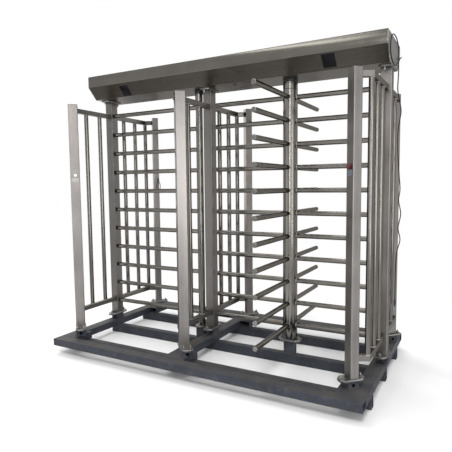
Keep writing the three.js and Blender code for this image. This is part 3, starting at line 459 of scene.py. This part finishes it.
# %% [markdown]
# Folded sheet and drawn tube never end in a knife edge: a square tube has corners of about 5 mm
# and a cut plate has a broken edge of about a millimetre, and both catch a thin line of light. The
# CAD solids are sharp. They could be subdivided, but that softens flat faces. So each node is
# copied, its flat triangles are merged, its long corners are bevelled widely and its short ones
# finely. The copy then stands in for the node.

# %% Rounded copies of the CAD nodes
sharp_angle = math.radians(35)
flat_angle = math.radians(0.5)
tube_corner = 0.005
broken_edge = 0.0012
fine_edge = 0.0008
sheet_corner = 0.004
long_edge = 0.19
corner_segments = 3
merge_distance = 0.00001


def sharp_edges(mesh, keep):
    """The mesh's sharp edges that a test keeps."""
    return [
        e for e in mesh.edges
        if len(e.link_faces) == 2 and e.calc_face_angle(0) > sharp_angle and keep(e)
    ]


def bevelled(mesh, edges, width, segments):
    """Bevels some of a mesh's edges."""
    bmesh.ops.bevel(
        mesh, geom=edges, offset=width, offset_type="OFFSET", segments=segments,
        profile=0.5, affect="EDGES", clamp_overlap=True,
    )


def finished(name, mesh, look, body, nodes=()):
    """Turns a bmesh into a smooth-shaded piece that rides on a body."""
    data = bpy.data.meshes.new(name)
    mesh.to_mesh(data)
    mesh.free()
    for each in look if isinstance(look, (list, tuple)) else [look]:
        data.materials.append(each)
    data.shade_smooth()
    data.set_sharp_from_angle(angle=sharp_angle)
    piece = bpy.data.objects.new(name, data)
    bpy.context.scene.collection.objects.link(piece)
    flatten = piece.modifiers.new("flat_faces_stay_flat", "WEIGHTED_NORMAL")
    flatten.keep_sharp = True
    flatten.weight = 100
    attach(piece, body)
    if nodes:
        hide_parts(*nodes)
    return piece


def rounded_copy(
    node, looks, body="frame", corner=tube_corner, edge=broken_edge, pick=None, move=None,
):
    """A copy of a CAD node with rounded edges.

    Pick chooses a face's look by its middle, and move gives the slide of a corner.
    """
    mesh = bmesh.new()
    mesh.from_mesh(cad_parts[node].data)
    bmesh.ops.remove_doubles(mesh, verts=mesh.verts, dist=merge_distance)
    bmesh.ops.dissolve_limit(
        mesh, angle_limit=flat_angle, verts=mesh.verts, edges=mesh.edges,
        use_dissolve_boundaries=False,
    )
    for vert in mesh.verts if move else ():
        vert.co += move(vert.co)
    if corner:
        long_corners = sharp_edges(mesh, lambda e: e.is_convex and e.calc_length() > long_edge)
        bevelled(mesh, long_corners, corner, corner_segments)
    if edge:
        bevelled(mesh, sharp_edges(mesh, lambda e: e.is_convex), edge, 1)
    for face in mesh.faces:
        face.material_index = pick(face.calc_center_median()) if pick else 0
    return finished(node + "_dressed", mesh, looks, body, [node])


ground_nodes = [
    "front_ground_beam", "rear_ground_beam", "left_runner", "middle_runner", "right_runner",
    "front_cross_beam", "middle_cross_beam", "rear_cross_beam",
]
for node in ground_nodes:
    rounded_copy(node, frame_paint)
print("Ground tubes:", len(ground_nodes))

# %% [markdown]
# The end posts are tubes of 80 by 60 mm that stand corner first, as their two faces show in the
# photograph. The CAD tubes are squares of 75 mm. A new tube could be built for each post, but the
# copies already have their plates, so only the tube's four corners slide to where they belong.
# Each tube's reach is given as two pairs, low and high, toward the right front and the right rear.

# %% Posts
foot_top = 0.2055
head_bottom = 2.2515
end_posts = {
    "left_front": (-1.822, -0.504), "middle_front": (-0.697, -0.504), "right_front": (0.626, -0.545),
    "left_rear": (-1.732, 0.545), "middle_rear": (-0.633, 0.545), "right_rear": (0.697, 0.504),
}
end_post_half = 0.0375
half_diagonal = end_post_half * math.sqrt(2)
to_right_front = Vector((1, -1, 0)).normalized()
to_right_rear = Vector((1, 1, 0)).normalized()
front_corner_first = ((-0.0225, 0.0375), (-0.0425, 0.0375))
front_side_first = ((-0.043, 0.0375), (-0.0225, 0.0375))
level_slack = 0.001
tube_slack = 0.0003


def opposite(reach):
    """The reach of a tube that is turned half round."""
    return tuple((-high, -low) for low, high in reach)


tube_reach = {
    "left_front": front_corner_first, "middle_front": front_corner_first,
    "right_front": front_side_first, "left_rear": opposite(front_side_first),
    "middle_rear": opposite(front_side_first), "right_rear": opposite(front_corner_first),
}


def tube_corners(place):
    """A function that gives the slide of a square tube's corner to its real place."""
    middle = Vector((*end_posts[place], 0)) + rotor_axis

    def slide(point):
        arm = Vector((point.x - middle.x, point.y - middle.y, 0))
        reach = max(abs(arm.dot(to_right_front)), abs(arm.dot(to_right_rear)))
        if reach > end_post_half + tube_slack or point.z < foot_top - level_slack:
            return Vector((0, 0, 0))
        shift = Vector((0, 0, 0))
        for way, (low, high) in zip((to_right_front, to_right_rear), tube_reach[place]):
            share = (arm.dot(way) + end_post_half) / (2 * end_post_half)
            shift += way * (low + share * (high - low) - arm.dot(way))
        return shift

    return slide


def plate_or_tube(middle):
    """0 on a post's tube, 1 on the plates at its two ends."""
    return 1 if middle.z < foot_top or middle.z > head_bottom else 0


post_nodes = [
    side + place + "_post"
    for side in ("left_", "middle_", "right_")
    for place in ("header", "front", "rear")
]
for node in post_nodes:
    place = node.removesuffix("_post")
    move = tube_corners(place) if place in end_posts else None
    # The left and middle header posts get the darker steel, painted shade.
    tube_look = painted_shade_post_steel if node in ("left_header_post", "middle_header_post") else post_steel
    rounded_copy(node, [tube_look, plate_steel], pick=plate_or_tube, move=move)

small_nodes = {
    "rotor_upper_bearing": (black_plastic, "black_plastic"),
    "gate_upper_bearing": (black_plastic, "black_plastic"),
    "rotor_foot_bearing": (bright_steel, "bright_steel"),
    "gate_foot_bearing": (bright_steel, "bright_steel"),
    "control_box": (box_grey, "box_grey"),
    "header_channel": (hard_steel, "hard_steel"),
    "cable_gland": (black_plastic, "black_plastic"),
}
for node, (look, slot) in small_nodes.items():
    rounded_copy(node, look, corner=0, edge=fine_edge)
print("Posts:", len(post_nodes), "and small pieces:", len(small_nodes))

# %% [markdown]
# The two dark windows sit in the header's sloped front. In the photograph they stand square to the
# header, while the CAD solids lean a little. New windows could be modelled, but the casing's
# openings have to agree with them. So the copies of casing and windows are made first, and every
# corner of a window or its opening slides in the plane of the slope to its square place.

# %% Header with square windows
slope_foot = Vector((0, -0.151, 2.262)) + rotor_axis
slope_edge = Vector((0, -0.093, 0.101))
slope_up = slope_edge.normalized()
slope_fold = slope_foot.z + slope_edge.z
window_foot = 0.008
leaning_size = (0.094, slope_edge.length - 2 * window_foot)
window_reach = 0.52
leaning_windows = [
    ((-1.505, -0.062), (-1.541, 0.006), (0.092, 0.104)),
    ((0.328, -0.022), (0.315, 0.019), (0.095, 0.106)),
]


def square_window(point):
    """The slide that takes a corner of a leaning window to its square place."""
    across = point.x - slope_foot.x
    height = (point - slope_foot).dot(slope_up)
    for (left, lean), (square_left, square_foot), (width, tall) in leaning_windows:
        up_share = (height - window_foot) / leaning_size[1]
        along_share = (across - left - lean * up_share) / leaning_size[0]
        if abs(up_share - 0.5) < window_reach and abs(along_share - 0.5) < window_reach:
            slide_x = square_left + along_share * width - across
            slide_up = square_foot + up_share * tall - height
            return Vector((slide_x, 0, 0)) + slope_up * slide_up
    return Vector((0, 0, 0))


def band_or_slope(middle):
    """0 on the header's upright sides, 1 on its slopes, 2 on its underside."""
    if middle.z < slope_foot.z + level_slack:
        return 2
    return 1 if middle.z < slope_fold - level_slack else 0


# The slope's darker steel is painted shade and the underside's lighter steel is painted light.
rounded_copy(
    "header_casing", [header_steel, painted_shade_slope_steel, painted_light_underside_steel],
    corner=sheet_corner, pick=band_or_slope, move=square_window,
)
rounded_copy("header_lid", header_steel, corner=sheet_corner)
for node in ("header_left_end", "header_right_end"):
    rounded_copy(node, end_steel, corner=sheet_corner)
for node in ("left_window", "right_window"):
    rounded_copy(node, black_gloss, corner=0, edge=fine_edge, move=square_window)
print("Windows squared:", len(leaning_windows))

# %% [markdown]
# The lock's discs, pawls and coils sit inside the header, where no view shows them, and the
# cable's plug is small. They could be copied and rounded too, but here only their material changes.

# %% CAD nodes that keep their own shape
kept_nodes = {
    "rotor_index_disc": hard_steel, "gate_lock_disc": hard_steel,
    "entry_pawl": hard_steel, "exit_pawl": hard_steel, "gate_pawl": hard_steel,
    "entry_plunger": bright_steel, "exit_plunger": bright_steel, "gate_plunger": bright_steel,
    "entry_coil": coil_copper, "exit_coil": coil_copper, "gate_coil": coil_copper,
    "cable_plug": black_plastic,
}
for node, look in kept_nodes.items():
    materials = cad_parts[node].data.materials
    materials.clear()
    materials.append(look)
control_cable.data.materials.append(cable_rubber)
post_wire.data.materials.append(cable_rubber)
wire_connector.data.materials.append(black_plastic)
print("Nodes that keep their shape:", len(kept_nodes))

# %% [markdown]
# Round bars are what the eye meets first here: 55 arms and 15 guard bars. The CAD bars have
# twelve flat sides, which a metal's reflections would show. A cylinder with more sides and smooth
# shading is all that a bar needs, with its tip rounded as the real closed tubes are. One helper
# turns a profile of radius and height about any line, and makes bars, columns and bolts alike.

# %% Turned pieces
tip_steps = 4
weld_ripple = 0.12
weld_ripples = 9


def turned(mesh, base, axis, profile, sides):
    """Adds a profile of (radius, height) pairs, turned about an axis through a base point."""
    axis = Vector(axis).normalized()
    across = axis.orthogonal().normalized()
    other = axis.cross(across)
    rings = []
    for radius, height in profile:
        centre = Vector(base) + axis * height
        if radius == 0:
            rings.append([mesh.verts.new(centre)])
            continue
        angles = [2 * math.pi * i / sides for i in range(sides)]
        rings.append([
            mesh.verts.new(centre + radius * (math.cos(a) * across + math.sin(a) * other))
            for a in angles
        ])
    for low, high in zip(rings, rings[1:]):
        for i in range(sides):
            j = i + 1
            foot = (low[i % len(low)], low[j % len(low)])
            head = (high[j % len(high)], high[i % len(high)])
            mesh.faces.new(dict.fromkeys(foot + head))


def bar_profile(start, end, radius, rounding):
    """A closed bar whose far tip is rounded."""
    tip = [
        (radius - rounding + rounding * math.cos(a), end - rounding + rounding * math.sin(a))
        for a in (i * right_angle / tip_steps for i in range(tip_steps + 1))
    ]
    return [(0, start), (radius, start), *tip, (0, end)]


def weld_ring(mesh, centre, axis, bar_radius, tube_radius, bead):
    """A weld bead where a round bar meets a round tube, as a ring that follows both."""
    axis = Vector(axis).normalized()
    side = axis.cross(Vector((0, 0, 1)))
    count = 28
    section = 6
    rings = []
    for i in range(count):
        angle = 2 * math.pi * i / count
        out = math.cos(angle) * side + math.sin(angle) * Vector((0, 0, 1))
        offset = bar_radius * math.cos(angle)
        along = math.sqrt(tube_radius ** 2 - offset ** 2)
        swell = bead * (1 + weld_ripple * math.sin(weld_ripples * angle))
        middle = Vector(centre) + axis * along + out * bar_radius
        rings.append([
            mesh.verts.new(middle + swell * (math.cos(t) * out + math.sin(t) * axis))
            for t in (2 * math.pi * k / section for k in range(section))
        ])
    for i in range(count):
        low = rings[i]
        high = rings[(i + 1) % count]
        for k in range(section):
            mesh.faces.new([low[k], low[(k + 1) % section], high[(k + 1) % section], high[k]])


# %% [markdown]
# The rotor is a column with eleven levels of four arms, and the gate is a thinner tube with
# eleven long arms. Both stand over a spigot at the foot and are carried by a shaft in the header.
# The bars could be joined into the column, but a bar that starts just inside it looks the same,
# and the weld bead hides the line.

# %% Rotor and gate
lowest_arm = 0.326
arm_pitch = 0.18
arm_count = 11
arm_levels = [lowest_arm + arm_pitch * i for i in range(arm_count)]
arm_radius = 0.019
arm_rounding = 0.0035
root_inset = 0.001
column_radius = 0.05715
column_foot = 0.2073
column_top = 2.187
rotor_reach = 0.67
gate_offset = -0.84
gate_axis = rotor_axis + Vector((gate_offset, 0, 0))
gate_tube_radius = 0.03015
gate_tube_top = 2.176
gate_reach = 0.95
weld_bead = 0.0026
column_lip = 0.0015
column_sides = 96
bar_sides = 32
shaft_edge = 0.001
up = (0, 0, 1)


def armed_tube(name, axis, radius, top, reach, directions, body, nodes):
    """An upright tube with arms on every level, and the weld bead round each arm's root."""
    mesh = bmesh.new()
    beads = bmesh.new()
    lip = column_lip
    turned(mesh, axis, up, [
        (0, column_foot + lip), (radius - lip, column_foot), (radius, column_foot + lip),
        (radius, top - lip), (radius - lip, top), (0, top),
    ], column_sides)
    root = math.sqrt(radius ** 2 - arm_radius ** 2) - root_inset
    arm = bar_profile(root, reach, arm_radius, arm_rounding)
    for level in arm_levels:
        centre = axis + Vector((0, 0, level))
        for direction in directions:
            turned(mesh, centre, direction, arm, bar_sides)
            weld_ring(beads, centre, direction, arm_radius, radius, weld_bead)
    finished(name, mesh, arm_steel, body, nodes)
    finished(name + "_weld_beads", beads, weld_steel, body)


armed_tube(
    "rotor_column_and_arms", rotor_axis, column_radius, column_top, rotor_reach,
    [(1, 0, 0), (0, 1, 0), (-1, 0, 0), (0, -1, 0)], "rotor", ["rotor_arms"],
)
armed_tube(
    "gate_tube_and_arms", gate_axis, gate_tube_radius, gate_tube_top, gate_reach,
    [(-1, 0, 0)], "gate", ["gate_leaf"],
)
sleeve = bmesh.new()
sleeve_lip = 0.002
sleeve_top = 2.233
turned(sleeve, rotor_axis, up, [
    (0, column_top), (column_radius - sleeve_lip, column_top),
    (column_radius, column_top + sleeve_lip), (column_radius, sleeve_top - sleeve_lip),
    (column_radius - sleeve_lip, sleeve_top), (0, sleeve_top),
], column_sides)
finished("rotor_sleeve_dressed", sleeve, arm_steel, "rotor", ["rotor_head_sleeve"])
# Painted shadow: a thin black ring darkens the groove where column and sleeve meet.
joint = bmesh.new()
joint_radius = column_radius + 0.0003
joint_foot = column_top - 0.002
joint_top = column_top + 0.003
turned(joint, rotor_axis, up, [
    (0, joint_foot), (joint_radius, joint_foot), (joint_radius, joint_top), (0, joint_top),
], column_sides)
finished("rotor_joint_painted_shadow", joint, black_plastic, "rotor")
for node, body in (("rotor_shaft", "rotor"), ("gate_shaft", "gate")):
    rounded_copy(node, arm_steel, body, corner=0, edge=shaft_edge)
print("Arm levels:", len(arm_levels))

# %% [markdown]
# Each guard is two square rails with upright round bars between them, and a small plate where a
# rail meets its header post. Three guards are straight and three bend inward at the last bar.
# The rails could be curves with a square bevel, but a mitred corner is easier to keep sharp with
# a swept ring of corner points.

# %% Guards
rail_size = 0.04
rail_corner = 0.004
rail_levels = (0.338, 2.12)
bar_pitch = 0.168
guard_bar_radius = 0.0185
guard_bead = 0.003
post_face = 0.04
plate_thickness = 0.006
plate_half_width = 0.026
plate_half_height = 0.032
plate_edge = 0.001
rail_end_gap = 0.006
rail_bite = 0.022
corner_steps = 3


def rounded_square(size, corner):
    """The corner points of a rounded square, as (across, up) pairs."""
    points = []
    inner = size / 2 - corner
    for quarter in range(4):
        for step in range(corner_steps + 1):
            angle = (quarter + step / corner_steps) * right_angle
            cx = inner if quarter in (0, 3) else -inner
            cy = inner if quarter in (0, 1) else -inner
            points.append((cx + corner * math.cos(angle), cy + corner * math.sin(angle)))
    return points


def square_rail(mesh, path, level):
    """A rounded square tube along a level path, with mitred bends and closed ends."""
    rings = []
    for i, point in enumerate(path):
        before = path[max(i - 1, 0)]
        after = path[min(i + 1, len(path) - 1)]
        first = (point - before).normalized() if i else (after - point).normalized()
        last = (after - point).normalized() if i < len(path) - 1 else first
        across = Vector((-first.y - last.y, first.x + last.x, 0)) / (1 + first.dot(last))
        rings.append([
            mesh.verts.new(Vector((point.x, point.y, level)) + across * u + Vector((0, 0, v)))
            for u, v in rounded_square(rail_size, rail_corner)
        ])
    count = len(rings[0])
    for low, high in zip(rings, rings[1:]):
        for k in range(count):
            mesh.faces.new([low[k], low[(k + 1) % count], high[(k + 1) % count], high[k]])
    mesh.faces.new(rings[0][::-1])
    mesh.faces.new(rings[-1])


def block(mesh, low, high, edge):
    """A box between two corners with broken edges."""
    part = bmesh.new()
    bmesh.ops.create_cube(part, size=1.0)
    size = Vector(high) - Vector(low)
    for vert in part.verts:
        vert.co = Vector(low) + Vector((v + 0.5) * s for v, s in zip(vert.co, size))
    bevelled(part, part.edges[:], edge, 2)
    copied = bpy.data.meshes.new("block")
    part.to_mesh(copied)
    part.free()
    mesh.from_mesh(copied)
    bpy.data.meshes.remove(copied)


lines = {"left": -1.84, "middle": -0.735, "right": 0.722}
guards = [
    ("left_front", "left", -1, 2), ("left_rear", "left", 1, 3), ("middle_front", "middle", -1, 2),
    ("middle_rear", "middle", 1, 3), ("right_front", "right", -1, 3), ("right_rear", "right", 1, 2),
]


def guard(place, line, side, bars):
    """One guard: two rails to the end post, its bars and their beads."""
    rails = bmesh.new()
    mesh = bmesh.new()
    beads = bmesh.new()
    x = lines[line]
    start = Vector((x, side * (post_face + plate_thickness), 0)) + rotor_axis
    corner = Vector((x, side * 3 * bar_pitch, 0)) + rotor_axis
    post = end_posts[place]
    last = Vector((*post, 0)) + rotor_axis
    if bars == 3:
        onward = (last - corner).normalized()
        path = [start, corner, last - onward * (end_post_half + rail_end_gap)]
    else:
        short = half_diagonal - rail_bite - abs(x - post[0])
        path = [start, Vector((start.x, last.y - side * short, 0))]
    for level in rail_levels:
        square_rail(rails, path, level)
        near = Vector((x - plate_half_width, side * post_face, level - plate_half_height))
        outer = side * (post_face + plate_thickness)
        far = Vector((x + plate_half_width, outer, level + plate_half_height))
        low = Vector(map(min, near + rotor_axis, far + rotor_axis))
        high = Vector(map(max, near + rotor_axis, far + rotor_axis))
        block(rails, low, high, plate_edge)
    low = rail_levels[0] + rail_size / 2
    high = rail_levels[1] - rail_size / 2
    for number in range(1, bars + 1):
        foot = Vector((x, side * number * bar_pitch, low)) + rotor_axis
        length = high - low
        turned(mesh, foot, up, [(guard_bar_radius, 0), (guard_bar_radius, length)], bar_sides)
        for end, sign in ((0, 1), (length, -1)):
            bead = [(guard_bar_radius, guard_bead * sign), (guard_bar_radius + guard_bead, 0)]
            turned(beads, foot + Vector((0, 0, end)), up, bead, bar_sides)
    node = place + "_guard"
    finished(node + "_dressed", mesh, bar_steel, "frame", [node])
    finished(node + "_rails", rails, rail_steel, "frame")
    finished(node + "_weld_beads", beads, weld_steel, "frame")


for entry in guards:
    guard(*entry)
print("Guards:", len(guards))

# %% [markdown]
# The posts are bolted down: each foot plate lies on its pedestal's plate, with a bolt, a washer
# and a nut near each end. The bearings' flanges and the plates under the header have them too. A
# hexagon turned from six sides is too sharp, so its corners are cut by a cone, as on a real head.

# %% Bolts
chamfer_share = 0.048
under_share = 0.9
crown_share = 0.88
washer_thickness = 0.002
nut_width_share = 1.55
nut_height_share = 0.75
stud_length = 0.012
stud_share = 0.48
stud_rounding = 0.001


def hexagon(mesh, base, axis, across_flats, height):
    """A nut or bolt head with the two corner chamfers of a real one."""
    corner = across_flats / math.sqrt(3)
    chamfer = chamfer_share * across_flats
    turned(mesh, base, axis, [
        (0, 0), (corner * under_share, 0), (corner, chamfer), (corner, height - chamfer),
        (corner * crown_share, height), (0, height),
    ], 6)


def bolt(mesh, place, away, size):
    """A washer, a nut and the end of its bolt on a face."""
    washer = [(0, 0), (size, 0), (size, washer_thickness), (0, washer_thickness)]
    turned(mesh, place, away, washer, 24)
    face = Vector(place) + Vector(away) * washer_thickness
    hexagon(mesh, face, away, size * nut_width_share, size * nut_height_share)
    top = face + Vector(away) * size * nut_height_share
    turned(mesh, top, away, bar_profile(0, stud_length, size * stud_share, stud_rounding), 16)


foot_plate_top = 0.205
head_plate_foot = 2.252
flange_top = 0.207
bolt_size = 0.0115
header_bolt_offset = 0.086
corner_bolt_reach = 0.118
corner_bolt_half = 0.026
side_bolt_offset = 0.07
rotor_bolt_offset = 0.074
gate_bolt_offset = 0.05
down = (0, 0, -1)
bolts = bmesh.new()
places = []
for x in lines.values():
    for y in (-header_bolt_offset, header_bolt_offset):
        places.append((Vector((x, y, foot_plate_top)), up))
        places.append((Vector((x, y, head_plate_foot)), down))
eighth = math.pi / 4
for place, (x, y) in end_posts.items():
    forward = place in ("left_front", "middle_front")
    angle = -eighth if forward else eighth
    along = Vector((math.cos(angle), math.sin(angle), 0))
    across = Vector((-along.y, along.x, 0))
    middle = Vector((x, y, foot_plate_top))
    for sign in (-1, 1):
        if forward:
            spot = middle + along * corner_bolt_reach + across * sign * corner_bolt_half
        else:
            spot = middle + along * sign * side_bolt_offset
        places.append((spot, up))
for sign in (-1, 1):
    places.append((Vector((sign * rotor_bolt_offset, 0, flange_top)), up))
    places.append((Vector((gate_offset, sign * gate_bolt_offset, flange_top)), up))
for spot, away in places:
    bolt(bolts, spot + rotor_axis, away, bolt_size)
finished("foot_and_head_bolts", bolts, bright_steel, "frame")
print("Bolts:", len(places))

# %% [markdown]
# The end posts are closed by thin dark caps, pressed into the tube. Each is an oblong plate with
# rounded edges, a little narrower than the tube. A flat face would do from below, but the other
# views show it from above.

# %% Post caps
end_post_top = 2.161
caps = bmesh.new()
cap_inset = 0.001
cap_thickness = 0.004
cap_edge = 0.0015
cap_turn = Matrix.Rotation(-eighth, 4, "Z")
for place, (x, y) in end_posts.items():
    across, along = tube_reach[place]
    low = (across[0] + cap_inset, along[0] + cap_inset, 0)
    high = (across[1] - cap_inset, along[1] - cap_inset, cap_thickness)
    others = len(caps.verts)
    block(caps, low, high, cap_edge)
    shift = Matrix.Translation(Vector((x, y, end_post_top)) + rotor_axis) @ cap_turn
    bmesh.ops.transform(caps, matrix=shift, verts=caps.verts[others:])
finished("post_caps", caps, black_plastic, "frame")
print("Caps:", len(end_posts))

# %% [markdown]
# Two push buttons sit on the front posts, each with a bare plate under it and each on a wide face
# of its post. The right one's face is 15 mm further in than in CAD, so it slides there, and its
# bezel is flatter. It could be drawn anew, but the copies keep the CAD buttons' free travel.

# %% Push buttons
bezel_share = 0.68
bezel_depth = 0.012
button_edge = 0.0007
right_front_axis = Vector((*end_posts["right_front"], 0)) + rotor_axis
right_face_shift = end_post_half + tube_reach["right_front"][1][0]


def seated_button(point):
    """The right button sits on the real tube's face, and stands out less than in CAD."""
    out = end_post_half + (point - right_front_axis).dot(to_right_rear)
    shorter = min(-out, bezel_depth) * (1 - bezel_share) if out < 0 else 0
    return to_right_rear * (right_face_shift + shorter)


buttons = {
    "left_button_bezel": (hard_steel, "bright_steel", "frame", None),
    "left_button": (white_cap, "white_cap", "left_button", None),
    "right_button_bezel": (black_plastic, "black_plastic", "frame", seated_button),
    "right_button": (red_plastic, "red_plastic", "right_button", seated_button),
}
for node, (look, slot, body, move) in buttons.items():
    rounded_copy(node, look, body, corner=0, edge=button_edge, move=move)
print("Buttons and bezels:", len(buttons))

# %% [markdown]
# The rest is small: a bare plate under each button, the set screws of the gate's head, two screw
# heads and a blank cover under the header, and the white tie on the cable. Each could be one cube,
# but a thin plate with rounded edges and a chamfered screw head catch light as the real ones do.

# %% Small fittings
label_proud = 0.0012
label_edge = 0.0005


def label_plate(name, button, post, facing, reach, drop, size, look):
    """A thin plate under a button, on the face that lies a reach away from the post's middle."""
    low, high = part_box(button)
    middle = (Vector(low) + Vector(high)) / 2
    along = Vector((-facing.y, facing.x, 0))
    face = Vector((*end_posts[post], 0)) + rotor_axis + facing * reach
    mesh = bmesh.new()
    half_width = size[0] / 2
    half_height = size[1] / 2
    plate_high = (half_width, 0, half_height)
    block(mesh, (-half_width, -label_proud, -half_height), plate_high, label_edge)
    turn_plate = Matrix.Rotation(math.atan2(along.y, along.x), 4, "Z")
    shift = Matrix.Translation((face.x, face.y, middle.z - drop)) @ turn_plate
    bmesh.ops.transform(mesh, matrix=shift, verts=mesh.verts)
    finished(name, mesh, look, "frame")


label_plate(
    "left_label_plate", "left_button", "left_front", facing=to_right_front, reach=end_post_half,
    drop=0.043, size=(0.052, 0.032), look=label_beige,
)
right_face_reach = -tube_reach["right_front"][1][0]
label_plate(
    "right_label_plate", "right_button", "right_front", facing=-to_right_rear,
    reach=right_face_reach, drop=0.038, size=(0.046, 0.035), look=label_blue,
)

screws = bmesh.new()
gate_head_radius = 0.033
screw_level = 2.192
screw_sunk = 0.0005
screw_profile = [(0, 0), (0.006, 0), (0.006, 0.0012), (0.005, 0.0018), (0, 0.0018)]
for degrees in (-35, -75, 105, 145):
    out = Vector((math.cos(math.radians(degrees)), math.sin(math.radians(degrees)), 0))
    spot = gate_axis + out * (gate_head_radius - screw_sunk) + Vector((0, 0, screw_level))
    turned(screws, spot, out, screw_profile, 16)
finished("gate_set_screws", screws, hard_steel, "gate")

underside = bmesh.new()
head_width = 0.024
head_height = 0.008
cover_thickness = 0.003
for x, y in ((-0.45, -0.07), (-0.45, 0.06)):
    head_place = Vector((x, y, slope_foot.z)) + rotor_axis
    hexagon(underside, head_place, down, head_width, head_height)
cover_low = Vector((-0.375, -0.095, slope_foot.z - cover_thickness)) + rotor_axis
cover_high = Vector((-0.285, 0.075, slope_foot.z)) + rotor_axis
block(underside, cover_low, cover_high, plate_edge)
# The fittings take the underside's lighter steel, painted light.
finished("header_underside_fittings", underside, painted_light_underside_steel, "frame")

tie = bmesh.new()
tie_inner = cable_thickness / 2 + 0.0001
tie_outer = tie_inner + 0.0012
tie_half = 0.002
tie_head_edge = 0.0006
tie_tail_edge = 0.0003
turned(tie, tie_place, tie_along, [
    (tie_inner, -tie_half), (tie_outer, -tie_half), (tie_outer, tie_half), (tie_inner, tie_half),
    (tie_inner, -tie_half),
], 24)
tie_head = tie_place - Vector((tie_outer + 0.0015, 0, 0))
head_half = Vector((0.0025, 0.003, 0.0025))
block(tie, tie_head - head_half, tie_head + head_half, tie_head_edge)
tail_low = tie_head - Vector((0.0006, 0.03, 0.001))
tail_high = tie_head + Vector((0.0006, 0, 0.0012))
block(tie, tail_low, tail_high, tie_tail_edge)
bmesh.ops.remove_doubles(tie, verts=tie.verts, dist=merge_distance)
finished("cable_tie", tie, white_nylon, "frame")
print("Label plates: 2, set screws: 4, cable tie: 1")

# %% [markdown]
# The studio is a pale floor under a white background. Through the Light Path node the background
# is full white to the camera and in reflections, and lights the object with two thirds of that.
# Steel shows what it mirrors, so each lamp stands where one kind of face mirrors it to the camera:
# the strip and the side lamp at the right front give the bars and the posts their bright faces, the
# key lamp is high behind the camera, a weak lamp stands at the left front, one at the left rear
# lights the left faces, and one above gives the floor its soft shadow. One big dome would be
# simpler, but makes all the faces alike. Away from the object the floor fades into the background.

# %% Studio
floor_half = 14.0
fade_start = 1.9
fade_end = 3.4
floor_mesh = bmesh.new()
bmesh.ops.create_grid(floor_mesh, x_segments=1, y_segments=1, size=floor_half)
floor_data = bpy.data.meshes.new("floor")
floor_mesh.to_mesh(floor_data)
floor_mesh.free()
floor = bpy.data.objects.new("floor", floor_data)
bpy.context.scene.collection.objects.link(floor)
floor_look, floor_start, floor_place = new_look("floor_paint")
floor_tone = noise(floor_place, 0.8, 2.0).mix((0.8, 0.8, 0.8), (0.84, 0.84, 0.84))
floor_paint = surface(floor_start, {"Base Color": floor_tone, "Roughness": 0.9})
length = {"operation": "LENGTH"}
distance = floor_start.node("ShaderNodeVectorMath", length, {0: floor_place}, "Value")
white = floor_start.node("ShaderNodeEmission", {}, {"Color": (1, 1, 1, 1), "Strength": 1.0})
far = distance.between(fade_start, fade_end)
fading = floor_start.node("ShaderNodeMixShader", {}, {0: far, 1: floor_paint, 2: white})
close_look(floor_start, fading)
floor_data.materials.append(floor_look)

world = bpy.data.worlds.new("studio")
bpy.context.scene.world = world
world.use_nodes = True
world.node_tree.nodes.clear()
sky = Wire(world.node_tree)
path = sky.node("ShaderNodeLightPath", {}, {}, "Is Camera Ray")
glossy = sky.node("ShaderNodeLightPath", {}, {}, "Is Glossy Ray")
through = sky.node("ShaderNodeLightPath", {}, {}, "Is Transmission Ray")
seen = (path + glossy + through).between(0.0, 1.0)
fill_level = 0.65
strength = fill_level + (1 - fill_level) * seen
background = sky.node("ShaderNodeBackground", {}, {"Color": (1, 1, 1, 1), "Strength": strength})
sky.node("ShaderNodeOutputWorld", {}, {"Surface": background})


def soft_lamp(name, place, aim, width, height, power):
    """A rectangular area lamp that looks at a point."""
    data = bpy.data.lights.new(name, "AREA")
    data.shape = "RECTANGLE"
    data.size = width
    data.size_y = height
    data.energy = power
    lamp = bpy.data.objects.new(name, data)
    lamp.location = place
    lamp.rotation_euler = (Vector(aim) - Vector(place)).to_track_quat("-Z", "Y").to_euler()
    bpy.context.scene.collection.objects.link(lamp)


soft_lamp("key_lamp", (2.4, -5.6, 6.6), (0, 0, 1.0), 2.4, 2.4, 420.0)
soft_lamp("strip_lamp", (2.25, -6.4, 2.3), (0.3, 0, 2.3), 0.8, 3.6, 74.0)
soft_lamp("side_lamp", (6.1, -4.2, 1.4), (0, 0, 1.4), 2.6, 3.2, 110.0)
soft_lamp("front_left_lamp", (-3.9, -6.2, 1.2), (0, 0, 1.2), 1.8, 2.2, 10.0)
soft_lamp("left_lamp", (-6.0, 3.4, 2.6), (0, 0, 1.2), 3.0, 4.0, 130.0)
soft_lamp("top_lamp", (-1.6, 0.4, 6.5), (-0.6, 0, 0.0), 4.0, 4.5, 260.0)
bpy.context.scene.view_settings.view_transform = "Standard"
print("Lamps:", len(bpy.data.lights))
